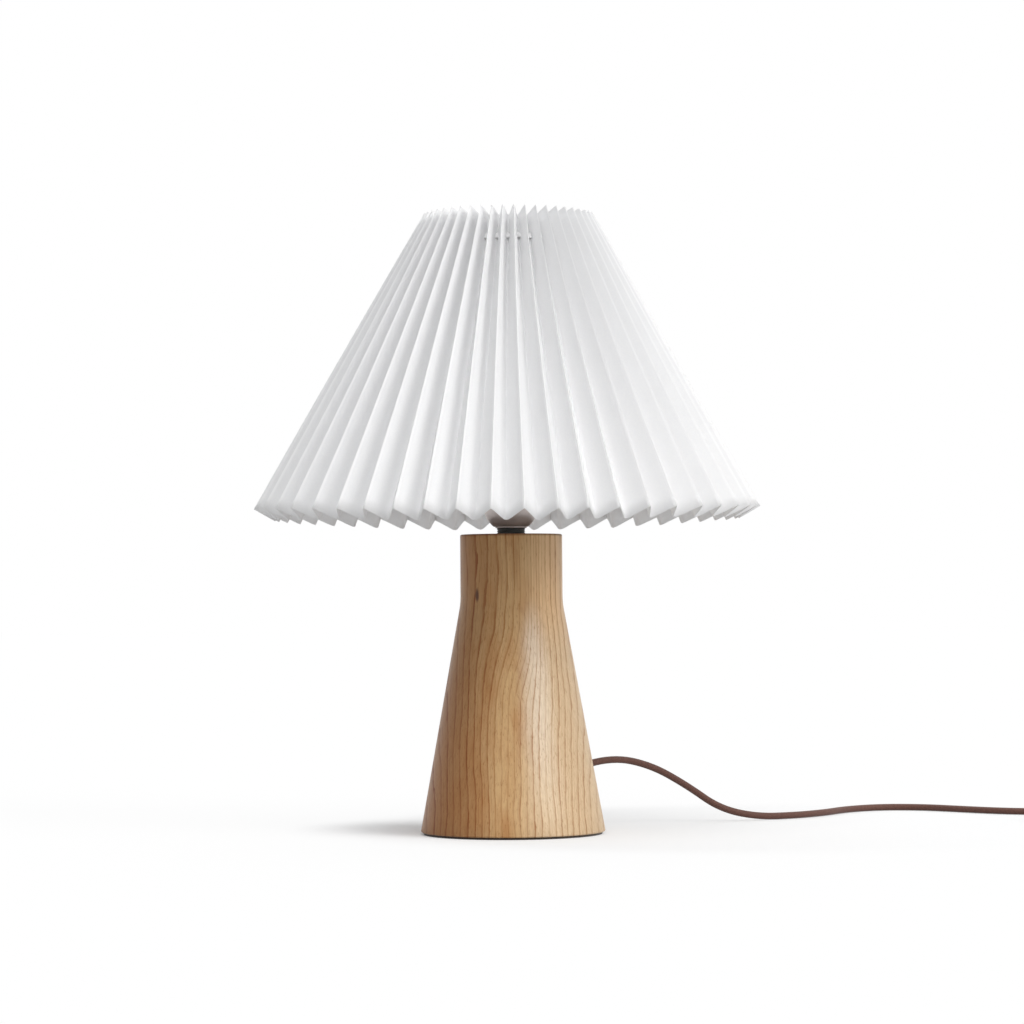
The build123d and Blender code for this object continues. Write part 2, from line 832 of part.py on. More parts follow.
def inner_lead(side, name):
    """One insulated lead from the jacket's end, up through the rod, to its terminal."""
    beside = exit_across * (side * lead_offset)
    turn_point = jacket_tip - exit_out * (jacket_end / cos(radians(exit_tilt)))
    terminal_face = exit_across * (side * (terminal_offset - terminal_size / 2))
    screw_middle = terminal_low + terminal_height / 2
    points = [
        jacket_tip + beside,
        turn_point + beside,
        Vector(beside.X, beside.Y, screw_middle),
        Vector(terminal_face.X, terminal_face.Y, screw_middle),
    ]
    with BuildPart() as lead:
        with BuildLine() as lead_line:
            FilletPolyline(*points, radius=[lead_bend, lead_top_bend])
        with BuildSketch(Plane(lead_line.line @ 0, z_dir=lead_line.line % 0)):
            Circle(lead_radius)
        sweep(path=lead_line.line)
    finish(lead.part, name)


inner_lead(-1, "lead_brown")
inner_lead(1, "lead_blue")

# ---------------------------------------------------------------- free cord


def tube(points):
    """Round cord along a route, with the widest bends that its runs allow."""
    with BuildPart() as length_of_cord:
        with BuildLine() as line:
            FilletPolyline(*points, radius=bend_list(points))
        path = line.wire()
        with BuildSketch(Plane(path @ 0, z_dir=path % 0)):
            Circle(cord_radius)
        sweep(path=path)
    swept = pi * cord_radius**2 * path.length
    print("cord length", round(path.length, 1))
    print("tube's volume over section times length", round(length_of_cord.part.volume / swept, 4))
    return length_of_cord.part


straight_out = cord_exit + exit_out * straight_run
route = [
    (cord_exit.X, cord_exit.Y, cord_exit.Z),
    (straight_out.X, straight_out.Y, straight_out.Z),
    *cord_route,
    switch_start,
]
finish(tube(route), "cord_to_switch")

# ---------------------------------------------------------------- inline switch

switch_x = switch_start[0]
switch_end = switch_start[1]
switch_low = switch_end - switch_length
switch_middle = switch_end - switch_length / 2
rocker_hole_length = rocker_length + 2 * rocker_end_gap
rocker_hole_width = rocker_width + 2 * free_gap
pivot_drop = switch_wall + pivot_radius + free_gap
pivot_height = switch_height - pivot_drop


def switch_outline(inset):
    """Rounded outline of the switch, seen from above, drawn inwards by an inset."""
    with Locations((switch_x, switch_middle)):
        RectangleRounded(
            switch_width - 2 * inset,
            switch_length - 2 * inset,
            switch_corner - inset,
        )


with BuildPart() as switch_bottom:
    with BuildSketch():
        switch_outline(0)
    extrude(amount=switch_split)
    chamfer(switch_bottom.faces().sort_by(Axis.Z)[0].edges(), switch_foot_chamfer)
    with BuildSketch(Plane.XY.offset(switch_wall)):
        switch_outline(switch_wall)
    extrude(amount=switch_split, mode=Mode.SUBTRACT)
finish(switch_bottom.part, "switch_bottom")

with BuildPart() as switch_top:
    with BuildSketch(Plane.XY.offset(switch_split)):
        switch_outline(0)
    extrude(amount=switch_height - switch_split)
    fillet(switch_top.faces().sort_by(Axis.Z)[-1].edges(), switch_top_fillet)
    with BuildSketch(Plane.XY.offset(switch_split)):
        switch_outline(switch_wall)
    extrude(amount=switch_height - switch_split - switch_wall, mode=Mode.SUBTRACT)
    with BuildSketch(Plane.XY.offset(switch_split)):
        with Locations((switch_x, switch_middle)):
            Rectangle(rocker_hole_width, rocker_hole_length)
    extrude(amount=switch_height, mode=Mode.SUBTRACT)
finish(switch_top.part, "switch_top")

with BuildPart() as switch_contacts:
    with BuildSketch(Plane.XY.offset(switch_wall)):
        for side in (-1, 1):
            with Locations((switch_x, switch_middle + side * contact_block_place)):
                Rectangle(switch_width - 4 * switch_wall, contact_block_length)
    extrude(amount=switch_split - switch_wall - contact_block_gap)
finish(switch_contacts.part, "switch_contacts")

with BuildPart() as switch_pivot:
    with BuildSketch(Plane.YZ.offset(switch_x - switch_width / 2 + switch_wall)):
        with Locations((switch_middle, pivot_height)):
            Circle(pivot_radius)
    extrude(amount=switch_width - 2 * switch_wall)
finish(switch_pivot.part, "switch_pivot")

with BuildPart() as switch_rocker:
    half_length = rocker_length / 2 - rocker_end_gap
    top_height = pivot_height + pivot_drop
    with BuildSketch(Plane.YZ.offset(switch_x - rocker_width / 2)):
        with BuildLine():
            Polyline(
                (switch_middle - half_length, pivot_height - rocker_shoulder),
                (switch_middle, pivot_height - rocker_depth),
                (switch_middle + half_length, pivot_height - rocker_shoulder),
                (switch_middle + half_length, top_height + rocker_rise),
                (switch_middle, top_height + rocker_dip),
                (switch_middle - half_length, top_height + rocker_rise),
                close=True,
            )
        make_face()
        with Locations((switch_middle, pivot_height)):
            Circle(pivot_radius + fit_gap, mode=Mode.SUBTRACT)
    extrude(amount=rocker_width)
rest_turn = Axis((switch_x, switch_middle, pivot_height), (1, 0, 0))
rocker_at_rest = switch_rocker.part.rotate(rest_turn, -rocker_travel / 2)
finish(rocker_at_rest, "switch_rocker")

with BuildPart() as switch_screws:
    with BuildSketch(Plane.XY.offset(switch_wall + switch_screw_gap)):
        for side in (-1, 1):
            with Locations((switch_x, switch_middle + side * switch_screw_place)):
                Circle(switch_screw_radius)
    extrude(amount=switch_height - 2 * switch_wall - 2 * switch_screw_gap)
finish(switch_screws.part, "switch_screws")

# ---------------------------------------------------------------- coil, tie and plug

coil_outer = coil_radius + coil_width / 2
turn_radius = coil_outer - cord_radius - coil_cord_inset
coil_x = switch_x + turn_radius
coil_y = switch_low - coil_to_switch
coil_low = tie_thickness
lead_in = sqrt(coil_outer**2 - turn_radius**2)
coil_cord_height = coil_low + coil_thickness - cord_radius - coil_cord_drop

with BuildPart() as cord_coil:
    with BuildSketch(Plane.XZ.offset(-coil_y)):
        with Locations((coil_x + coil_radius, coil_low + coil_thickness / 2)):
            RectangleRounded(coil_width, coil_thickness, cord_radius)
    revolve(axis=Axis((coil_x, coil_y, 0), (0, 0, 1)))
finish(cord_coil.part, "cord_coil")

with BuildPart() as cord_to_coil:
    with BuildSketch(Plane((switch_x, switch_low, switch_split), z_dir=(0, -1, 0))):
        Circle(cord_radius)
    extrude(amount=switch_low - coil_y - 2 * cord_radius)
    add(cord_coil.part, mode=Mode.SUBTRACT)
finish(cord_to_coil.part, "cord_to_coil")

tie_outer_width = coil_width + 2 * tie_thickness
with BuildPart() as cord_tie:
    with BuildSketch(Plane.YZ.offset(coil_x - tie_width / 2)):
        with Locations((coil_y - coil_radius, coil_low + coil_thickness / 2)):
            Rectangle(tie_outer_width + 2 * tie_slack, coil_thickness + 2 * tie_thickness)
    extrude(amount=tie_width)
    edges_along = cord_tie.edges().filter_by(Axis.X)
    fillet(edges_along, tie_corner)
    add(cord_coil.part, mode=Mode.SUBTRACT)
finish(cord_tie.part, "cord_tie")

plug_x = coil_x + turn_radius
plug_relief_tip = coil_y + lead_in + plug_clearance
plug_back = plug_relief_tip + plug_relief
plug_face = plug_back + plug_length
plug_middle = plug_thickness / 2

with BuildPart() as cord_to_plug:
    with BuildSketch(Plane((plug_x, plug_relief_tip, coil_cord_height), z_dir=(0, -1, 0))):
        Circle(cord_radius)
    extrude(amount=plug_relief_tip - coil_y - 2 * cord_radius)
    add(cord_coil.part, mode=Mode.SUBTRACT)
finish(cord_to_plug.part, "cord_to_plug")

with BuildPart() as plug_body:
    with BuildSketch(Plane.XY):
        with BuildLine():
            Polyline(
                (plug_x - plug_tail_width / 2, plug_back),
                (plug_x + plug_tail_width / 2, plug_back),
                (plug_x + plug_width / 2, plug_back + plug_taper),
                (plug_x + plug_width / 2, plug_face),
                (plug_x - plug_width / 2, plug_face),
                (plug_x - plug_width / 2, plug_back + plug_taper),
                close=True,
            )
        make_face()
    extrude(amount=plug_thickness)
    fillet(plug_body.edges().filter_by(Axis.Z), plug_corner)
    chamfer(plug_body.faces().filter_by(Axis.Z).edges(), plug_edge)
    with BuildSketch(Plane((plug_x, plug_back, plug_middle), z_dir=(0, -1, 0))):
        Circle(cord_radius + relief_back_wall)
    with BuildSketch(Plane((plug_x, plug_relief_tip, coil_cord_height), z_dir=(0, -1, 0))):
        Circle(cord_radius + relief_tip_wall)
    loft()
    for side in (-1, 1):
        pin_x = plug_x + side * pin_spacing / 2
        with BuildSketch(Plane((pin_x, plug_face, plug_middle), z_dir=(0, 1, 0))):
            Circle(pin_radius)
        extrude(amount=pin_sleeve)
        with BuildSketch(Plane((pin_x, plug_face - pin_root, plug_middle), z_dir=(0, 1, 0))):
            Circle(pin_core + fit_gap)
        extrude(amount=pin_root + pin_sleeve, mode=Mode.SUBTRACT)
finish(plug_body.part, "plug_body")

with BuildPart() as plug_pins:
    for side in (-1, 1):
        pin_x = plug_x + side * pin_spacing / 2
        with BuildSketch(Plane((pin_x, plug_face - pin_root, plug_middle), z_dir=(0, 1, 0))):
            Circle(pin_core)
        extrude(amount=pin_root + pin_sleeve)
        with BuildSketch(Plane((pin_x, plug_face + pin_sleeve, plug_middle), z_dir=(0, 1, 0))):
            Circle(pin_radius)
        extrude(amount=pin_length - pin_sleeve)
finish(plug_pins.part, "plug_pins")
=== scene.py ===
import json
import random
from math import atan2, cos, degrees, floor, pi, radians, sin, sqrt

import bmesh
import bpy
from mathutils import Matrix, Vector


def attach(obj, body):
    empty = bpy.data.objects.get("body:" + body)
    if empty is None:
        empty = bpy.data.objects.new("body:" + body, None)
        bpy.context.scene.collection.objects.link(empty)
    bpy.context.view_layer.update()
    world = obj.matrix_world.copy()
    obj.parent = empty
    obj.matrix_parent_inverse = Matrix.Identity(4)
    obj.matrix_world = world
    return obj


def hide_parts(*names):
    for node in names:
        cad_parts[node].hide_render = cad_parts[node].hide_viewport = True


# The looks of the pleated paper table lamp. Sizes are written in millimetres and turned into metres by MM.
# +Z is up, +Y is away from the viewer, and the origin is the middle of the underside of the foot.

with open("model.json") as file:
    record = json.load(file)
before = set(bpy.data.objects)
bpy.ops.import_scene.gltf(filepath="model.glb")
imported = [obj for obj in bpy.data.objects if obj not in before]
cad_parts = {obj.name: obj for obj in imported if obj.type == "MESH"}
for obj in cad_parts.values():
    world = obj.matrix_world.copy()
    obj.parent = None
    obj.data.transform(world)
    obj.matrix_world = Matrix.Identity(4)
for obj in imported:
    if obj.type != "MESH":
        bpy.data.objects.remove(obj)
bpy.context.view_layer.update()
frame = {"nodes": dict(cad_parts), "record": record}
scene = bpy.context.scene
scene.view_settings.view_transform = "Standard"
MM = 0.001
chance = random.Random(48)

body_of_node = {}
for body, nodes in frame["record"]["behaviour"]["bodies"].items():
    for node in nodes:
        body_of_node[node] = body
slot_of_node = {part["node"]: part["material_slot"] for part in frame["record"]["subparts"]}

# ---------------------------------------------------------------- shared shader groups


def start_group(name, inputs, outputs):
    """An empty shader node group with its sockets. Each input is a name, a kind and a value."""
    group = bpy.data.node_groups.new(name, "ShaderNodeTree")
    for label, kind, value in inputs:
        socket = group.interface.new_socket(label, in_out="INPUT", socket_type=kind)
        socket.default_value = value
    for label, kind in outputs:
        group.interface.new_socket(label, in_out="OUTPUT", socket_type=kind)
    return group, group.nodes.new("NodeGroupInput"), group.nodes.new("NodeGroupOutput")


def put(tree, kind, settings=None, values=None):
    """A new node with its settings, and the values of its unlinked sockets."""
    node = tree.nodes.new(kind)
    for key, value in (settings or {}).items():
        setattr(node, key, value)
    for key, value in (values or {}).items():
        node.inputs[key].default_value = value
    return node


def maths(tree, operation, first, second=None, third=None):
    """A maths node. Each operand is a socket or a number."""
    node = put(tree, "ShaderNodeMath", {"operation": operation})
    for place, operand in enumerate((first, second, third)):
        if operand is None:
            continue
        if isinstance(operand, (int, float)):
            node.inputs[place].default_value = operand
        else:
            tree.links.new(operand, node.inputs[place])
    return node.outputs[0]


def blended(tree, share, first, second, kind="MIX"):
    """Two colours mixed. Each is a socket or a colour."""
    node = put(tree, "ShaderNodeMix", {"data_type": "RGBA", "blend_type": kind})
    for socket, value in ((node.inputs[0], share), (node.inputs[6], first), (node.inputs[7], second)):
        if isinstance(value, (int, float)):
            socket.default_value = value
        elif isinstance(value, tuple):
            socket.default_value = (*value, 1) if len(value) == 3 else value
        else:
            tree.links.new(value, socket)
    return node.outputs[2]


def noise(tree, vector, scale, detail=3.0, roughness=0.55):
    """Cloudy noise from 0 to 1."""
    node = put(tree, "ShaderNodeTexNoise", values={"Scale": scale, "Detail": detail, "Roughness": roughness})
    tree.links.new(vector, node.inputs["Vector"])
    return node.outputs["Fac"]


def stepped(tree, value, low, high, to_low=0.0, to_high=1.0):
    """A value eased from one range to another."""
    node = put(tree, "ShaderNodeMapRange", {"interpolation_type": "SMOOTHSTEP"})
    tree.links.new(value, node.inputs["Value"])
    node.inputs["From Min"].default_value = low
    node.inputs["From Max"].default_value = high
    node.inputs["To Min"].default_value = to_low
    node.inputs["To Max"].default_value = to_high
    return node.outputs["Result"]


def moved(tree, vector, place=(0, 0, 0), scale=(1, 1, 1)):
    """A place scaled and then moved."""
    node = put(tree, "ShaderNodeMapping", values={"Location": place, "Scale": scale})
    tree.links.new(vector, node.inputs["Vector"])
    return node.outputs["Vector"]


def product(tree, first, *others):
    """Several values multiplied."""
    for other in others:
        first = maths(tree, "MULTIPLY", first, other)
    return first


def centred(tree, value):
    """A value from 0 to 1 turned into a swing about zero."""
    return maths(tree, "SUBTRACT", value, 0.5)


def tinted(tree, share, colour, tint):
    """A colour taken part of the way to itself times a tint."""
    return blended(tree, share, colour, blended(tree, 1.0, colour, tint, "MULTIPLY"))


# Mottle: small uneven patches of tone, roughness and height, as on moulded, painted or plated parts.
mottle, mottle_in, mottle_out = start_group(
    "mottle",
    [
        ("Colour", "NodeSocketColor", (0.5, 0.5, 0.5, 1)),
        ("Tone", "NodeSocketFloat", 0.1),
        ("Scale", "NodeSocketFloat", 200.0),
        ("Roughness", "NodeSocketFloat", 0.5),
        ("Spread", "NodeSocketFloat", 0.1),
    ],
    [("Colour", "NodeSocketColor"), ("Roughness", "NodeSocketFloat"), ("Height", "NodeSocketFloat")],
)
mottle_place = put(mottle, "ShaderNodeTexCoord").outputs["Object"]
mottle_wide = put(mottle, "ShaderNodeTexNoise", values={"Detail": 3.0})
mottle_fine = put(mottle, "ShaderNodeTexNoise", values={"Detail": 2.0})
mottle.links.new(mottle_place, mottle_wide.inputs["Vector"])
mottle.links.new(mottle_place, mottle_fine.inputs["Vector"])
mottle.links.new(mottle_in.outputs["Scale"], mottle_fine.inputs["Scale"])
mottle.links.new(maths(mottle, "MULTIPLY", mottle_in.outputs["Scale"], 0.12), mottle_wide.inputs["Scale"])
tone_swing = centred(mottle, mottle_wide.outputs["Fac"])
fine_swing = centred(mottle, mottle_fine.outputs["Fac"])
both_swings = maths(mottle, "ADD", tone_swing, maths(mottle, "MULTIPLY", fine_swing, 0.5))
tone_factor = maths(mottle, "MULTIPLY_ADD", both_swings, mottle_in.outputs["Tone"], 1.0)
tone_colour = put(mottle, "ShaderNodeVectorMath", {"operation": "SCALE"})
mottle.links.new(mottle_in.outputs["Colour"], tone_colour.inputs[0])
mottle.links.new(tone_factor, tone_colour.inputs["Scale"])
mottle.links.new(tone_colour.outputs[0], mottle_out.inputs["Colour"])
mottle.links.new(
    maths(mottle, "MULTIPLY_ADD", tone_swing, mottle_in.outputs["Spread"], mottle_in.outputs["Roughness"]),
    mottle_out.inputs["Roughness"],
)
mottle.links.new(mottle_fine.outputs["Fac"], mottle_out.inputs["Height"])


def plain(levels):
    """A colour written as 0 to 255 turned into the linear colour that a shader takes."""
    steps = [level / 255 for level in levels]
    linear = [((step + 0.055) / 1.055) ** 2.4 if step > 0.04 else step / 12.92 for step in steps]
    return (*linear, 1)


def material_with_shader(name):
    """A new material, its node tree and the shader in it."""
    material = bpy.data.materials.new(name)
    material.use_nodes = True
    return material, material.node_tree, material.node_tree.nodes["Principled BSDF"]


def dress_shader(tree, shader, colour, roughness, height=None, strength=0.0, depth=0.0):
    """Links a colour, a roughness and a relief. The relief's depth is in millimetres."""
    tree.links.new(colour, shader.inputs["Base Color"])
    tree.links.new(roughness, shader.inputs["Roughness"])
    if height is not None:
        relief = put(tree, "ShaderNodeBump", values={"Strength": strength, "Distance": depth * MM})
        tree.links.new(height, relief.inputs["Height"])
        tree.links.new(relief.outputs["Normal"], shader.inputs["Normal"])


def mottled(
    name, colour, roughness, metal=0.0, tone=0.12, scale=400.0, spread=0.15, bump=0.08, depth=0.05, coat=0.0
):
    """A painted, plated or moulded finish with small variations."""
    material, tree, shader = material_with_shader(name)
    patches = put(
        tree,
        "ShaderNodeGroup",
        {"node_tree": mottle},
        {"Colour": plain(colour), "Tone": tone, "Scale": scale, "Roughness": roughness, "Spread": spread},
    )
    out = patches.outputs
    dress_shader(tree, shader, out["Colour"], out["Roughness"], out["Height"], bump, depth)
    shader.inputs["Metallic"].default_value = metal
    shader.inputs["Coat Weight"].default_value = coat
    return material


# ---------------------------------------------------------------- camera, light and floor

camera_data = bpy.data.cameras.new("camera")
camera_data.sensor_width = 36
camera_data.lens = 116
camera_data.clip_end = 60
camera = bpy.data.objects.new("camera", camera_data)
camera.location = (0.3 * MM, -2310 * MM, 163 * MM)
camera.rotation_euler = (radians(91.53), radians(0.42), 0)
scene.collection.objects.link(camera)
scene.camera = camera


def soft_sun(name, azimuth, elevation, strength, spread, colour):
    """A wide lamp far away. Azimuth 0 shines from the viewer, and 90 from the viewer's right."""
    data = bpy.data.lights.new(name, "SUN")
    data.energy = strength
    data.angle = radians(spread)
    data.color = colour
    lamp = bpy.data.objects.new(name, data)
    side, rise = radians(azimuth), radians(elevation)
    towards = Vector((sin(side) * cos(rise), -cos(side) * cos(rise), sin(rise)))
    lamp.rotation_mode = "QUATERNION"
    lamp.rotation_quaternion = towards.to_track_quat("Z", "Y")
    scene.collection.objects.link(lamp)


soft_sun("key_right", 52, 26, 1.37, 34, (1.0, 0.99, 0.98))
soft_sun("top_front", -2, 54, 1.18, 46, (1.0, 1.0, 1.0))
soft_sun("back_fill", 188, 42, 0.55, 70, (0.98, 0.99, 1.0))


def seen_rays(tree):
    """Value of one for rays from the camera, from gloss and through glass."""
    path = put(tree, "ShaderNodeLightPath").outputs
    seen = maths(tree, "MAXIMUM", path["Is Camera Ray"], path["Is Glossy Ray"])
    return maths(tree, "MAXIMUM", seen, path["Is Transmission Ray"])


# The studio's light comes from above more than from the walls, and the walls look white.
world = bpy.data.worlds.new("studio")
scene.world = world
world.use_nodes = True
sky = world.node_tree
sky.nodes.clear()
sky_axes = put(sky, "ShaderNodeSeparateXYZ")
sky.links.new(put(sky, "ShaderNodeTexCoord").outputs["Generated"], sky_axes.inputs[0])
sky_light = put(sky, "ShaderNodeBackground", values={"Color": (0.98, 0.99, 1.0, 1)})
sky_level = maths(sky, "MULTIPLY_ADD", maths(sky, "MAXIMUM", sky_axes.outputs["Z"], 0.0), 0.34, 0.28)
sky.links.new(sky_level, sky_light.inputs["Strength"])
sky_white = put(sky, "ShaderNodeBackground", values={"Color": (1, 1, 1, 1), "Strength": 1.0})
sky_mix = put(sky, "ShaderNodeMixShader")
sky.links.new(seen_rays(sky), sky_mix.inputs[0])
sky.links.new(sky_light.outputs[0], sky_mix.inputs[1])
sky.links.new(sky_white.outputs[0], sky_mix.inputs[2])
sky.links.new(sky_mix.outputs[0], put(sky, "ShaderNodeOutputWorld").inputs["Surface"])

# The floor shows the shadows near the lamp and its cord, and fades into the white further off.
floor_paint = bpy.data.materials.new("studio_floor")
floor_paint.use_nodes = True
paint = floor_paint.node_tree
paint.nodes.clear()
floor_place = put(paint, "ShaderNodeTexCoord").outputs["Object"]
floor_seen = seen_rays(paint)
floor_light = 1.10  # what the lamps and the sky make of a white floor
floor_tone = 0.62  # of the floor in the light that it throws back on the lamp


def spot(centre, reach):
    """Distance from a centre on the floor in metres, in shares of a reach along X and Y."""
    scale = (1 / reach[0], 1 / reach[1], 1)
    start = (-centre[0] * scale[0], -centre[1] * scale[1], 0)
    length = put(paint, "ShaderNodeVectorMath", {"operation": "LENGTH"})
    paint.links.new(moved(paint, floor_place, start, scale), length.inputs[0])
    return length.outputs["Value"]


lamp_and_cord = stepped(paint, spot((0.1867, 0.0556), (0.3333, 0.2778)), 0.74, 1.02, 0.52, 0.10)
beside_foot = stepped(paint, spot((-0.0800, 0.0562), (0.0909, 0.1250)), 0.20, 1.0, 0.46, 0.0)
floor_share = maths(paint, "ADD", lamp_and_cord, beside_foot)
floor_swing = maths(paint, "SUBTRACT", floor_share, floor_tone)
floor_shade = maths(paint, "MULTIPLY_ADD", floor_seen, floor_swing, floor_tone)
floor_matt = put(paint, "ShaderNodeBsdfDiffuse")
paint.links.new(floor_shade, floor_matt.inputs["Color"])
floor_glow = put(paint, "ShaderNodeEmission", values={"Color": (1, 1, 1, 1)})
floor_rest = maths(paint, "MULTIPLY_ADD", floor_share, -floor_light, 1.0)
paint.links.new(product(paint, floor_seen, floor_rest), floor_glow.inputs["Strength"])
floor_add = put(paint, "ShaderNodeAddShader")
paint.links.new(floor_matt.outputs[0], floor_add.inputs[0])
paint.links.new(floor_glow.outputs[0], floor_add.inputs[1])
paint.links.new(floor_add.outputs[0], put(paint, "ShaderNodeOutputMaterial").inputs["Surface"])

floor_bm = bmesh.new()
bmesh.ops.create_grid(floor_bm, x_segments=1, y_segments=1, size=14)
floor_drop = 0.1 * MM  # keeps the floor clear of the sole
bmesh.ops.translate(floor_bm, verts=floor_bm.verts, vec=(0, 0, -floor_drop))
floor_mesh = bpy.data.meshes.new("studio_floor")
floor_bm.to_mesh(floor_mesh)
floor_bm.free()
floor_mesh.materials.append(floor_paint)
studio_floor = bpy.data.objects.new("studio_floor", floor_mesh)
scene.collection.objects.link(studio_floor)

# ---------------------------------------------------------------- materials

finishes = {
    "iron": mottled("cast_iron", (70, 70, 72), 0.62, 0.85, 0.3, 300, 0.2, 0.4, 0.1),
    "zinc_steel": mottled("zinc_plated_steel", (188, 190, 190), 0.34, 1.0, 0.12, 500, 0.25, 0.1, 0.02),
    "black_metal": mottled("blackened_steel", (60, 61, 58), 0.42, 0.6, 0.25, 700, 0.2, 0.15, 0.02),
    "black_plastic": mottled("black_phenolic", (30, 29, 28), 0.38, 0.0, 0.2, 900, 0.15, 0.2, 0.02),
    "ceramic": mottled("glazed_ceramic", (236, 233, 226), 0.2, 0.0, 0.04, 300, 0.1, 0.05, 0.02, 0.5),
    "brass": mottled("plain_brass", (196, 160, 92), 0.3, 1.0, 0.15, 600, 0.2, 0.08, 0.02),
    "white_wire": mottled(
        "white_enamelled_wire", (232, 231, 228), 0.34, 0.0, 0.05, 500, 0.12, 0.1, 0.02, 0.3
    ),
    "bulb_white": mottled("white_bulb_housing", (233, 233, 231), 0.42, 0.0, 0.04, 800, 0.1, 0.1, 0.02),
    "bulb_cap": mottled("nickel_plated_cap", (198, 196, 190), 0.28, 1.0, 0.1, 500, 0.2, 0.05, 0.02),
    "led_plate": mottled("white_board", (225, 222, 205), 0.5, 0.0, 0.08, 900, 0.1, 0.1, 0.02),
    "brown_plastic": mottled("brown_moulded_plastic", (78, 49, 39), 0.4, 0.0, 0.12, 1400, 0.12, 0.35, 0.03),
    "lead_brown": mottled("brown_insulation", (96, 58, 38), 0.45, 0.0, 0.1, 900),
    "lead_blue": mottled("blue_insulation", (52, 92, 150), 0.45, 0.0, 0.1, 900),
    "nickel": mottled("nickel_pins", (200, 197, 190), 0.24, 1.0, 0.1, 700, 0.2, 0.05, 0.01),
}


def growth_rings(tree, place, across, depth, height):
    """The count of growth rings at a point, and the two noises that bend them most."""
    # The rings close up towards the neck and bow aside round a swirl on the front.
    narrowing = stepped(tree, height, 0.070, 0.190, 1.0, 1.20)
    swirl_height = stepped(tree, height, 0.085, 0.150)
    swirl_left = stepped(tree, across, -0.032, 0.004)
    swirl_right = stepped(tree, across, 0.008, 0.024, 1.0, 0.0)
    swirl_front = stepped(tree, depth, -0.012, 0.012, 1.0, 0.0)
    swirl = product(tree, swirl_height, swirl_left, swirl_right, swirl_front)
    bowed = maths(tree, "MULTIPLY_ADD", swirl, -0.0135, product(tree, across, narrowing))
    slow = noise(tree, moved(tree, place, scale=(14, 14, 7)), 1.0, 2.0)
    wander = noise(tree, moved(tree, place, (3, 1, 7), (60, 60, 26)), 1.0, 2.0)
    kink = noise(tree, moved(tree, place, (1, 9, 4), (190, 190, 95)), 1.0, 3.0, 0.6)
    for bend, swing in ((slow, 0.010), (wander, 0.0028), (kink, 0.0013)):
        bowed = maths(tree, "MULTIPLY_ADD", centred(tree, bend), swing, bowed)
    curved = product(tree, bowed, bowed, 0.30)
    deep = maths(tree, "MULTIPLY_ADD", depth, 0.035, maths(tree, "ADD", bowed, curved))
    ring_width = 0.0046
    return product(tree, deep, 1 / ring_width), slow, wander


def ring_lines(tree, place, ring):
    """How strong the growth lines are at a point, and one random value for each ring."""
    # One dark line for each ring, soft on one side and sharp on the other.
    part = maths(tree, "FRACT", ring)
    steep = stepped(tree, part, 0.71, 0.90, 0.0, 0.72)
    gentle = stepped(tree, part, 0.30, 0.90, 0.0, 0.28)
    fall = stepped(tree, part, 0.94, 1.0, 1.0, 0.0)
    dice = put(tree, "ShaderNodeTexWhiteNoise", {"noise_dimensions": "1D"})
    tree.links.new(maths(tree, "FLOOR", ring), dice.inputs["W"])
    strength = maths(tree, "MULTIPLY_ADD", dice.outputs["Value"], 0.55, 0.45)
    gaps = noise(tree, moved(tree, place, scale=(300, 300, 60)), 1.0, 2.0)
    line = product(tree, maths(tree, "ADD", steep, gentle), fall, strength)
    line = product(tree, line, stepped(tree, gaps, 0.30, 0.62, 0.55, 1.0))
    # Thinner lines run between them here and there.
    half = maths(tree, "FRACT", maths(tree, "MULTIPLY_ADD", ring, 2.0, 0.37))
    thin = product(tree, stepped(tree, half, 0.84, 0.95), stepped(tree, half, 0.96, 1.0, 1.0, 0.0))
    places = noise(tree, moved(tree, place, (5, 5, 5), (40, 40, 6)), 1.0, 1.0)
    thin = product(tree, thin, stepped(tree, places, 0.48, 0.60), 0.52)
    return maths(tree, "MAXIMUM", line, thin), dice.outputs["Value"]


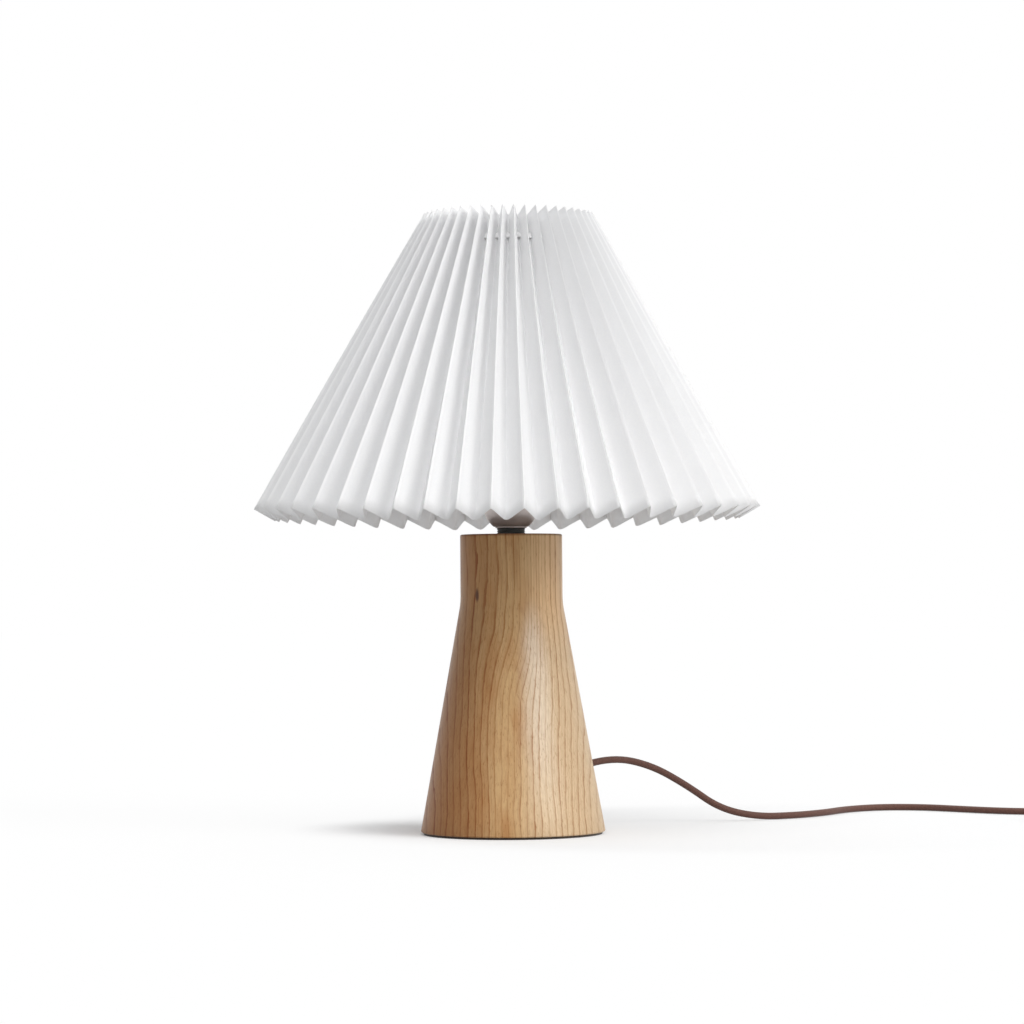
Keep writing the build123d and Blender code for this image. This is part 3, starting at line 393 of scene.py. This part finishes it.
def wood_finish():
    """Oiled pale wood: thin dark growth lines that run up the turned base, with a swirl on its front."""
    material, tree, shader = material_with_shader("oiled_wood")
    place = put(tree, "ShaderNodeTexCoord").outputs["Object"]
    axes = put(tree, "ShaderNodeSeparateXYZ")
    tree.links.new(place, axes.inputs[0])
    across, depth, height = axes.outputs
    ring, slow, wander = growth_rings(tree, place, across, depth, height)
    line, ring_tone = ring_lines(tree, place, ring)
    # A swing across the base from left to right, which the painted shade and painted light below follow; the
    # growth lines are drawn fainter on the right, where the key light falls.
    towards_key_light = maths(tree, "MULTIPLY_ADD", centred(tree, slow), 0.02, across)
    line = product(tree, line, stepped(tree, towards_key_light, -0.030, 0.026, 1.0, 0.86))

    # Uneven ground. Then painted shade darkens the left, away from the key light, and painted light makes
    # the right paler where the key light falls, warmer and paler still on the neck below the shade's shadow.
    patch = noise(tree, moved(tree, place, (2, 2, 2), (48, 48, 13)), 1.0, 3.0)
    ground = blended(tree, stepped(tree, patch, 0.36, 0.64), plain((208, 172, 124)), plain((187, 140, 91)))
    ground = blended(tree, product(tree, ring_tone, 0.30), ground, plain((174, 128, 81)))
    ground = blended(tree, stepped(tree, towards_key_light, -0.050, -0.006, 0.90, 0.0), ground, plain((156, 108, 65)))
    upper = stepped(tree, height, 0.120, 0.165)
    painted_light_tone = blended(tree, upper, plain((227, 203, 168)), plain((250, 214, 168)))
    ground = blended(tree, stepped(tree, towards_key_light, -0.002, 0.028, 0.0, 0.80), ground, painted_light_tone)

    # A painted highlight: a pale streak where the key light's sheen falls, coming down from the swirl and
    # fading out towards the foot.
    round_way = maths(tree, "ARCTAN2", across, product(tree, depth, -1.0))
    round_way = maths(tree, "MULTIPLY_ADD", centred(tree, wander), 0.16, round_way)
    aside = maths(tree, "ABSOLUTE", maths(tree, "SUBTRACT", round_way, 0.38))
    pale = stepped(tree, aside, 0.0, 0.34, 1.0, 0.0)
    pale_top = stepped(tree, maths(tree, "MULTIPLY_ADD", pale, -0.012, height), 0.120, 0.156, 0.60, 0.0)
    pale = product(tree, pale, pale_top, stepped(tree, height, 0.0, 0.090, 0.10, 1.0))
    ground = blended(tree, pale, ground, plain((241, 227, 206)))

    # Fibres and growth lines, then a small dark fleck on the left of the neck, and pores.
    fibres = noise(tree, moved(tree, place, scale=(900, 900, 24)), 1.0, 3.0)
    fibre = stepped(tree, fibres, 0.30, 0.72)
    grown = tinted(tree, product(tree, fibre, 0.30), ground, (0.62, 0.54, 0.46))
    grown = tinted(tree, line, grown, (0.52, 0.28, 0.14))
    fleck_place = moved(tree, place, (0.0238, 0.0264, -0.1665))
    fleck_round = put(tree, "ShaderNodeVectorMath", {"operation": "LENGTH"})
    tree.links.new(moved(tree, fleck_place, scale=(560, 200, 155)), fleck_round.inputs[0])
    fleck = stepped(tree, fleck_round.outputs["Value"], 0.35, 1.0, 0.85, 0.0)
    grown = blended(tree, fleck, grown, plain((78, 44, 34)))
    pores = noise(tree, moved(tree, place, scale=(1300, 1300, 150)), 1.0, 2.0)
    grown = tinted(tree, product(tree, stepped(tree, pores, 0.57, 0.72), 0.50), grown, (0.56, 0.38, 0.25))

    # The rounded edge at the top is darker.
    edge = stepped(tree, height, 0.2068, 0.2086)
    grown = blended(tree, product(tree, edge, 0.55), grown, plain((112, 60, 40)))
    satin = maths(tree, "MULTIPLY_ADD", line, 0.10, 0.36)
    satin = maths(tree, "MULTIPLY_ADD", fibre, 0.06, satin)
    dress_shader(tree, shader, grown, satin, maths(tree, "MULTIPLY_ADD", line, -0.6, fibres), 0.25, 0.06)
    shader.inputs["Specular IOR Level"].default_value = 0.22
    return material


def paper_finish():
    """White pleating paper: faint fibres, pale ridges that are partly a painted highlight, painted shade
    deep in the pleats, and a little light through it.
    """
    material, tree, shader = material_with_shader("white_pleating_paper")
    place = put(tree, "ShaderNodeTexCoord").outputs["Object"]
    cloud = noise(tree, place, 700.0, 3.0, 0.6)
    fibre = noise(tree, moved(tree, place, scale=(1, 1, 0.35)), 2600.0, 3.0, 0.7)
    colour = blended(tree, stepped(tree, cloud, 0.35, 0.65), plain((236, 236, 236)), plain((234, 234, 235)))
    specks = product(tree, stepped(tree, fibre, 0.5, 0.75), 0.20)
    colour = blended(tree, specks, colour, plain((227, 227, 228)))
    # Painted shade darkens the bottoms of the pleats. The ridges are lighter: partly the paler paper of the
    # crease, partly a painted highlight where the folded edge catches the light.
    fold = put(tree, "ShaderNodeAttribute", {"attribute_name": "fold"}).outputs["Fac"]
    colour = blended(tree, stepped(tree, fold, 0.40, 1.0, 0.0, 0.30), colour, plain((230, 230, 231)))
    colour = blended(tree, stepped(tree, fold, 0.03, 0.13, 0.85, 0.0), colour, plain((246, 246, 246)))
    dress_shader(tree, shader, colour, stepped(tree, cloud, 0.3, 0.7, 0.74, 0.84), fibre, 0.10, 0.02)
    shader.inputs["Specular IOR Level"].default_value = 0.25
    shader.inputs["Subsurface Weight"].default_value = 0.40
    shader.inputs["Subsurface Radius"].default_value = (1.0, 0.98, 0.95)
    shader.inputs["Subsurface Scale"].default_value = 1.2 * MM
    return material


def ribbon_finish():
    """White satin ribbon with fine crosswise threads."""
    material, tree, shader = material_with_shader("white_satin_ribbon")
    place = put(tree, "ShaderNodeTexCoord").outputs["Object"]
    threads = put(tree, "ShaderNodeTexWave", {"bands_direction": "Z"}, {"Scale": 900.0, "Distortion": 0.4})
    tree.links.new(place, threads.inputs["Vector"])
    thread = threads.outputs["Fac"]
    colour = blended(tree, thread, plain((222, 222, 222)), plain((234, 234, 234)))
    dull = stepped(tree, noise(tree, place, 400.0), 0.3, 0.7, 0.5, 0.62)
    dress_shader(tree, shader, colour, dull, thread, 0.2, 0.03)
    shader.inputs["Sheen Weight"].default_value = 0.3
    return material


def gunmetal_finish():
    """Dark bronze-grey metal, turned and brushed round its axis."""
    material, tree, shader = material_with_shader("brushed_gunmetal")
    place = put(tree, "ShaderNodeTexCoord").outputs["Object"]
    rings = noise(tree, moved(tree, place, scale=(30, 30, 3200)), 1.0, 2.0)
    cloud = noise(tree, place, 90.0, 3.0)
    colour = blended(tree, stepped(tree, cloud, 0.3, 0.7), plain((214, 204, 200)), plain((196, 186, 182)))
    dress_shader(tree, shader, colour, stepped(tree, rings, 0.3, 0.7, 0.36, 0.48), rings, 0.12, 0.02)
    shader.inputs["Metallic"].default_value = 0.45
    return material


def felt_finish():
    """Dark brown wool felt."""
    material, tree, shader = material_with_shader("wool_felt")
    place = put(tree, "ShaderNodeTexCoord").outputs["Object"]
    fuzz = noise(tree, place, 1500.0, 5.0, 0.75)
    colour = blended(tree, stepped(tree, fuzz, 0.3, 0.7), plain((52, 42, 36)), plain((84, 70, 60)))
    dress_shader(tree, shader, colour, stepped(tree, fuzz, 0.3, 0.7, 0.9, 1.0), fuzz, 0.8, 0.3)
    shader.inputs["Sheen Weight"].default_value = 0.4
    return material


def opal_finish():
    """Opal white globe of an unlit bulb."""
    material, tree, shader = material_with_shader("opal_globe")
    place = put(tree, "ShaderNodeTexCoord").outputs["Object"]
    cloud = noise(tree, place, 60.0, 2.0)
    colour = blended(tree, cloud, plain((240, 240, 236)), plain((232, 232, 228)))
    dress_shader(tree, shader, colour, stepped(tree, cloud, 0.3, 0.7, 0.22, 0.30))
    shader.inputs["Coat Weight"].default_value = 0.3
    return material


def cord_finish():
    """Brown textile cord: a fine uneven fuzz with darker patches."""
    material, tree, shader = material_with_shader("brown_braided_cord")
    place = put(tree, "ShaderNodeTexCoord").outputs["Object"]
    fuzz = noise(tree, place, 2600.0, 4.0, 0.7)
    patch = noise(tree, place, 700.0, 2.0)
    colour = blended(tree, stepped(tree, fuzz, 0.32, 0.68), plain((76, 44, 34)), plain((108, 70, 57)))
    colour = blended(tree, product(tree, stepped(tree, patch, 0.4, 0.7), 0.35), colour, plain((66, 37, 29)))
    dress_shader(tree, shader, colour, stepped(tree, fuzz, 0.3, 0.7, 0.62, 0.8), fuzz, 0.6, 0.15)
    shader.inputs["Sheen Weight"].default_value = 0.10
    return material


finishes["oak"] = wood_finish()
finishes["paper"] = paper_finish()
finishes["ribbon"] = ribbon_finish()
finishes["gunmetal"] = gunmetal_finish()
finishes["felt"] = felt_finish()
finishes["bulb_globe"] = opal_finish()
finishes["cord_brown"] = cord_finish()
finishes["tie_black"] = mottled("black_hook_and_loop", (34, 34, 35), 0.9, 0.0, 0.5, 1800, 0.1, 0.8, 0.2)

# ---------------------------------------------------------------- making pieces


def as_piece(bm, name, slot, body, replaced=(), sharp=38):
    """The finished mesh as an object of its own, riding on its body. Edges past an angle stay sharp."""
    mesh = bpy.data.meshes.new(name)
    bm.to_mesh(mesh)
    bm.free()
    mesh.materials.append(finishes[slot])
    mesh.shade_smooth()
    mesh.set_sharp_from_angle(angle=radians(sharp))
    piece = bpy.data.objects.new(name, mesh)
    scene.collection.objects.link(piece)
    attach(piece, body)
    if replaced:
        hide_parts(*replaced)
    return piece


def turned(outline, steps=96):
    """A closed outline of radius and height turned round the upright axis."""
    bm = bmesh.new()
    corners = [bm.verts.new((radius * MM, 0, height * MM)) for radius, height in outline]
    rim = [bm.edges.new(pair) for pair in zip(corners, corners[1:] + corners[:1])]
    bmesh.ops.spin(
        bm,
        geom=corners + rim,
        cent=(0, 0, 0),
        axis=(0, 0, 1),
        angle=2 * pi,
        steps=steps,
        use_merge=True,
        use_duplicate=False,
    )
    bmesh.ops.remove_doubles(bm, verts=bm.verts, dist=1e-6)
    flat = [edge for edge in bm.edges if edge.is_wire]
    bmesh.ops.delete(bm, geom=flat, context="EDGES")
    bmesh.ops.recalc_face_normals(bm, faces=bm.faces)
    return bm


def arc(centre, radius, start, end, steps):
    """Points of an arc in an outline, with its angles in degrees."""
    points = []
    for step in range(steps + 1):
        angle = radians(start + (end - start) * step / steps)
        points.append((centre[0] + radius * cos(angle), centre[1] + radius * sin(angle)))
    return points


def round_axis(angle, reach, height):
    """A place in metres from an angle round the upright axis and two lengths in millimetres."""
    return (reach * cos(angle) * MM, reach * sin(angle) * MM, height * MM)


def drawn_out(bm, edges, rows, step):
    """Rows of faces grown from open edges, each row moved on by a step. It returns the last edges."""
    for _ in range(rows):
        grown = bmesh.ops.extrude_edge_only(bm, edges=edges)["geom"]
        new = {item for item in grown if isinstance(item, bmesh.types.BMVert)}
        edges = [item for item in grown if isinstance(item, bmesh.types.BMEdge) and set(item.verts) <= new]
        bmesh.ops.translate(bm, verts=list(new), vec=step)
    return edges


def unit_tube(segments, rows, way):
    """An open tube of radius one that runs from zero up to 1 or down to -1, to be shaped later."""
    bm = bmesh.new()
    bmesh.ops.create_circle(bm, cap_ends=False, segments=segments, radius=1.0)
    drawn_out(bm, bm.edges[:], rows, (0, 0, way / rows))
    return bm


def walled(piece, name, thickness, way):
    """Gives a sheet its thickness in millimetres: inwards when way is -1, and outwards when it is 1."""
    wall = piece.modifiers.new(name, "SOLIDIFY")
    wall.thickness = thickness * MM
    wall.offset = way


def dressed(node, name=None, sharp=35):
    """A merged, smooth copy of a solid that stands for it."""
    bm = bmesh.new()
    bm.from_mesh(frame["nodes"][node].data)
    bmesh.ops.remove_doubles(bm, verts=bm.verts, dist=2e-6)
    return as_piece(bm, name or node + "_finish", slot_of_node[node], body_of_node[node], (node,), sharp)


# ---------------------------------------------------------------- cord

cord_exit = (54.70, 45.90, 46.11)
cord_route = [
    cord_exit,
    (71.28, 59.81, 50.01),
    (100, 81, 43),
    (127, 98, 27),
    (151, 110, 9.5),
    (179, 120, 2.6),
    (209, 134, 2.6),
    (233, 162, 2.6),
    (252, 198, 2.6),
    (281, 222, 2.6),
    (314, 216, 2.6),
    (340, 189, 2.6),
    (365, 165, 2.6),
    (391, 155, 2.6),
    (409, 139, 4.0),
    (415, 121, 6.5),
    (415, 104, 6.5),
    (415, 75, 6.5),
    (415, 46, 6.5),
    (415, 30, 6.3),
    (414.6, 12, 4.6),
]
coil_centre = (450, -8)
coil_steps = 16
coil_turns = 6.5
coil_low, coil_high = 3.5, 8.5  # heights of the two layers
coil_outer, coil_inner = 36, 21
coil_step = 5  # from one turn to the next
coil_slack = 1.006


def coil_point(turns):
    """Place on the coil after a number of turns: three flat turns inwards, a rise, and three outwards."""
    if turns <= 3:
        reach, height = coil_outer - coil_step * turns, coil_low
    elif turns < 3.5:
        share = (turns - 3) / 0.5
        reach = coil_inner - 1.3 * sin(pi * share)
        height = coil_low + (coil_high - coil_low) * (1 - cos(pi * share)) / 2
    else:
        reach, height = coil_inner + coil_step * (turns - 3.5), coil_high
    reach *= coil_slack
    angle = pi + 2 * pi * turns
    return (coil_centre[0] + reach * cos(angle), coil_centre[1] + reach * sin(angle), height)


for step in range(int(coil_turns * coil_steps) + 1):
    cord_route.append(coil_point(step / coil_steps))
cord_route += [(485.6, 6, 8.3), (485.2, 20, 8.1), (485, 34, 8.1), (485, 50, 7.4)]

cord_radius = 2.5
cord_line = bpy.data.curves.new("brown_cord", "CURVE")
cord_line.dimensions = "3D"
cord_spline = cord_line.splines.new("NURBS")
cord_spline.points.add(len(cord_route) - 1)
for control, (x, y, z) in zip(cord_spline.points, cord_route):
    control.co = (x * MM, y * MM, z * MM, 1)
cord_spline.order_u = 3
cord_spline.use_endpoint_u = True
cord_spline.resolution_u = 8
cord_line.bevel_depth = cord_radius * MM
cord_line.bevel_resolution = 5
cord_line.use_fill_caps = True
cord_line.materials.append(finishes["cord_brown"])
brown_cord = bpy.data.objects.new("brown_cord", cord_line)
scene.collection.objects.link(brown_cord)
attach(brown_cord, "lamp")
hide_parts("cord_to_switch", "cord_to_coil", "cord_coil", "cord_to_plug")

# ---------------------------------------------------------------- turned wooden base

foot_radius, neck_radius = 64.5, 35.7
felt_top, shoulder_height, base_height = 1.5, 161.4, 209.0
rod_hole = 5.2
weight_bay, weight_bay_top = 20, 62
recess, recess_top = 50, 15.5
foot_edge, neck_edge = 1.05, 1.2  # roundings
flank_slope = (foot_radius - neck_radius) / (shoulder_height - felt_top)
flank_lean = atan2(flank_slope, 1)

# A wide hollow round joins the flank to the neck.
blend = 60
blend_reach = blend * sin(flank_lean / 2) / cos(flank_lean / 2)
blend_low = (
    neck_radius + blend_reach * sin(flank_lean),
    shoulder_height - blend_reach * cos(flank_lean),
)
blend_centre = (blend_low[0] + blend * cos(flank_lean), blend_low[1] + blend * sin(flank_lean))

base_outline = [(rod_hole, weight_bay_top), (weight_bay, weight_bay_top), (weight_bay, recess_top)]
base_outline += [(recess, recess_top), (recess, felt_top), (foot_radius - 1.0, felt_top)]
base_outline += arc((foot_radius - 1.15, felt_top + foot_edge), foot_edge, -75, 0, 4)
flank_rows, flank_start = 14, 3.4
for row in range(1, flank_rows + 1):
    height = flank_start + (blend_low[1] - flank_start) * row / flank_rows
    base_outline.append((foot_radius - flank_slope * (height - felt_top), height))
base_outline += arc(blend_centre, blend, 180 + degrees(flank_lean), 180, 6)[1:]
base_outline += [(neck_radius, height) for height in (175, 190, 203)]
base_outline += arc((neck_radius - neck_edge, base_height - neck_edge), neck_edge, 0, 90, 5)
base_outline += [(weight_bay, base_height), (rod_hole, base_height)]
as_piece(turned(base_outline, 192), "turned_wood", "oak", "lamp", ("base_wood",), 30)

dressed("base_felt", "felt_sole")

# ---------------------------------------------------------------- collar and lamp holder

rod_fit = 5.05
collar_radius, collar_top = 9.8, 213.4
soft_edge = 0.4
groove_floor = collar_radius - 0.45
collar_outline = [(rod_fit, base_height), (collar_radius - 0.3, base_height)]
collar_outline += arc((collar_radius - soft_edge, base_height + soft_edge), soft_edge, -90, 0, 3)
for low, high in ((210.25, 210.7), (211.7, 212.15)):
    collar_outline += [(collar_radius, low - 0.1), (groove_floor, low)]
    collar_outline += [(groove_floor, high), (collar_radius, high + 0.1)]
collar_outline += arc((collar_radius - soft_edge, collar_top - soft_edge), soft_edge, 0, 90, 3)
collar_outline += [(rod_fit, collar_top)]
as_piece(turned(collar_outline, 96), "grooved_collar", "black_metal", "lamp", ("neck_collar",), 30)

# The cap is part of a ball on a short neck, with a straight wall above its widest height.
cap_radius, cap_wall, cap_straight = 19.5, 1.2, 10.3
cap_neck = 11.0
cap_floor, cap_floor_radius = 214.5, 12.2
cap_equator = cap_floor + sqrt(cap_radius**2 - cap_floor_radius**2)
cap_top = cap_equator + cap_straight
floor_angle = degrees(atan2(cap_floor - cap_equator, cap_floor_radius))
inner_radius, inner_floor = cap_radius - cap_wall, cap_floor + cap_wall
inner_floor_radius = sqrt(inner_radius**2 - (cap_equator - inner_floor) ** 2)
inner_angle = degrees(atan2(inner_floor - cap_equator, inner_floor_radius))
cap_outline = [(rod_fit, collar_top), (cap_neck - 0.3, collar_top)]
cap_outline += arc((cap_neck - soft_edge, collar_top + soft_edge), soft_edge, -90, 0, 3)
cap_outline += [(cap_neck, cap_floor - 0.15), (cap_neck + 0.9, cap_floor - 0.08)]
cap_outline += [(cap_floor_radius, cap_floor)]
cap_outline += arc((0, cap_equator), cap_radius, floor_angle, 0, 14)[1:]
cap_outline += [(cap_radius, cap_equator + 4), (cap_radius, cap_top - 0.4), (cap_radius - 0.35, cap_top)]
cap_outline += [(inner_radius, cap_top), (inner_radius, cap_equator)]
cap_outline += arc((0, cap_equator), inner_radius, 0, inner_angle, 10)[1:]
cap_outline += [(rod_fit, inner_floor)]
as_piece(turned(cap_outline, 128), "holder_dome", "gunmetal", "lamp", ("holder_cap",), 30)

for node in ("holder_skirt", "holder_insert", "holder_thread_shell", "shade_ring_lower", "shade_ring_upper"):
    dressed(node)

# ---------------------------------------------------------------- bulb


def threaded_cap(radius, low, high, pitch, depth, floor_radius):
    """A thin threaded shell with a right-handed rounded thread, closed to a floor. The bulb's cap."""
    around, rows_a_turn = 72, 9
    bm = unit_tube(around, int((high - low) / pitch * rows_a_turn), 1)
    for vertex in bm.verts:
        angle, share = atan2(vertex.co.y, vertex.co.x), vertex.co.z
        height = low + (high - low) * share
        fade = min(1, share / 0.12, (1 - share) / 0.16)  # the thread runs out at both ends
        wave = (1 - cos(2 * pi * ((height - low) / pitch - angle / (2 * pi)))) / 2
        vertex.co = round_axis(angle, radius - depth * wave * max(0, fade), height)
    lowest = [edge for edge in bm.edges if edge.is_boundary and edge.verts[0].co.z < (low + 0.1) * MM]
    rim = drawn_out(bm, lowest, 1, (0, 0, 0))
    for vertex in {vertex for edge in rim for vertex in edge.verts}:
        vertex.co = round_axis(atan2(vertex.co.y, vertex.co.x), floor_radius, low)
    bmesh.ops.contextual_create(bm, geom=rim)
    bmesh.ops.recalc_face_normals(bm, faces=bm.faces)
    walled(as_piece(bm, "threaded_bulb_cap", "bulb_cap", "bulb", ("bulb_cap",), 50), "wall", 0.35, -1)


threaded_cap(radius=13.2, low=249.01, high=268.01, pitch=3.62, depth=0.85, floor_radius=11.5)
for node in ("bulb_contact", "bulb_housing", "bulb_globe", "bulb_led_plate"):
    dressed(node, sharp=30)

# ---------------------------------------------------------------- shade carrier

for node in ("carrier_ring", "carrier_hoop", "carrier_arms"):
    dressed(node)

# ---------------------------------------------------------------- pleated paper

pleat_count = 48
shade_top_radius, shade_foot_radius = 59.5, 177.0
shade_squeeze, shade_top, shade_slant = 0.05, 434.012, 237.5
depth_top, depth_foot = 13.2, 16.0
least_depth = 0.12
paper_rows = 26
top_drift = [chance.uniform(-0.10, 0.10) for fold in range(2 * pleat_count)]
foot_drift = [chance.uniform(-0.34, 0.34) for fold in range(2 * pleat_count)]
depth_drift = [chance.uniform(-0.05, 0.05) for fold in range(2 * pleat_count)]


def fold_at(angle):
    """Number of the fold at an angle: even at the bottom of a pleat, and odd on a ridge."""
    return (degrees(angle) + 90) / (180 / pleat_count)


def valley_at(fold):
    """How near a fold lies to the bottom of a pleat: 1 there, and 0 on a ridge."""
    return abs(((fold / 2) % 1) * 2 - 1)


def between_folds(values, fold):
    """A value for each fold, shared out evenly between two folds."""
    first = floor(fold)
    share = fold - first
    return values[first % len(values)] * (1 - share) + values[(first + 1) % len(values)] * share


def pleat_form(valley, down):
    """How far into a pleat the paper lies: bowed at the top, and nearly straight down at the foot."""
    bowed = 0.6 * (1 - cos(pi * valley)) / 2 + 0.4 * sin(pi * valley / 2)
    soft = 0.20
    straight = valley if valley < 1 - soft else valley - (valley - 1 + soft) ** 2 / (2 * soft)
    straight /= 1 - soft / 2
    stiff = down**2.4
    return bowed * (1 - stiff) + (0.8 * straight + 0.2 * bowed) * stiff


def paper_place(angle, down):
    """Place on the outside of the paper at an angle, from 0 at the top to 1 at the foot."""
    fold = fold_at(angle)
    drift = between_folds(top_drift, fold) * (1 - down) + between_folds(foot_drift, fold) * down
    angle += radians(drift)
    foot = shade_foot_radius * (1 - shade_squeeze * sin(angle) ** 2)
    drop = sqrt(shade_slant**2 - (foot - shade_top_radius) ** 2)
    reach = shade_top_radius + (foot - shade_top_radius) * down
    height = shade_top - drop * down
    depth = depth_top + (depth_foot - depth_top) * down
    depth *= pleat_form(valley_at(fold), down) * (1 + between_folds(depth_drift, fold) * down)
    depth = max(depth, least_depth)
    reach -= drop / shade_slant * depth
    height -= (foot - shade_top_radius) / shade_slant * depth
    x, y, z = round_axis(angle, reach, height)
    aside = -0.25 - 2.4 * (1 - (1 - down) ** 2)  # the shade leans a little to the left
    return (x + aside * MM, y, z)


paper_bm = unit_tube(pleat_count * 16, paper_rows, -1)
fold_layer = paper_bm.verts.layers.float.new("fold")
for vertex in paper_bm.verts:
    angle = atan2(vertex.co.y, vertex.co.x)
    vertex[fold_layer] = valley_at(fold_at(angle))
    vertex.co = paper_place(angle, -vertex.co.z)
bmesh.ops.recalc_face_normals(paper_bm, faces=paper_bm.faces)
paper_shade = as_piece(paper_bm, "pleated_paper", "paper", "shade", ("shade_paper",), 40)
walled(paper_shade, "paper", 0.35, -1)

ribbon_radius, ribbon_middle = 57.5, 413.0
ribbon_width, ribbon_flare = 3.9, 2.2
ribbon_twist = [chance.uniform(-0.35, 0.35) for fold in range(2 * pleat_count)]
ribbon_shift = [chance.uniform(-0.4, 0.4) for fold in range(2 * pleat_count)]
ribbon_bm = unit_tube(pleat_count * 6, 3, -1)
for vertex in ribbon_bm.verts:
    angle, below = atan2(vertex.co.y, vertex.co.x), -vertex.co.z - 0.5
    fold = fold_at(angle)
    reach = ribbon_radius + below * ribbon_flare + between_folds(ribbon_twist, fold) * below * 2
    height = ribbon_middle - below * ribbon_width + between_folds(ribbon_shift, fold)
    vertex.co = round_axis(angle, reach, height)
bmesh.ops.recalc_face_normals(ribbon_bm, faces=ribbon_bm.faces)
ribbon = as_piece(ribbon_bm, "ribbon_band", "ribbon", "shade", ("shade_ribbon",), 60)
walled(ribbon, "ribbon", 0.3, -1)

# ---------------------------------------------------------------- switch, tie and plug

for node in ("switch_bottom", "switch_top", "switch_rocker"):
    dressed(node, sharp=30)


def strap_tie():
    """A strap wound snugly round the coil, with its free end laid over its start."""
    middle, half, low, high, corner = coil_centre[1] - 27.0, 10.1, 1.0, 11.1, 3.0
    lap = high + 1.15
    way = [(middle + 2, high), (middle - 3, high)]
    way += arc((middle - half + corner, high - corner), corner, 90, 180, 5)
    way += arc((middle - half + corner, low + corner), corner, 180, 270, 5)
    way += [(middle, low)]
    way += arc((middle + half - corner, low + corner), corner, 270, 360, 5)
    way += arc((middle + half - 2.9, high - 2.85), 4.0, 0, 90, 6)
    way += [(middle + 3, lap), (middle - 3, lap), (middle - 7, lap)]
    width, rows = 8, 4
    bm = bmesh.new()
    corners = [bm.verts.new(((coil_centre[0] - width / 2) * MM, y * MM, z * MM)) for y, z in way]
    edges = [bm.edges.new(pair) for pair in zip(corners, corners[1:])]
    drawn_out(bm, edges, rows, (width / rows * MM, 0, 0))
    bmesh.ops.recalc_face_normals(bm, faces=bm.faces)
    piece = as_piece(bm, "strap_tie", "tie_black", "lamp", ("cord_tie",), 40)
    walled(piece, "strap", 1.0, 1)
    return piece


tie = strap_tie()
plug = dressed("plug_body", sharp=30)
pins = dressed("plug_pins")
bush = dressed("cord_bush")

# ---------------------------------------------------------------- the other solids

for node, solid in frame["nodes"].items():
    if solid.hide_render:
        continue
    solid.data.materials.clear()
    solid.data.materials.append(finishes[slot_of_node[node]])
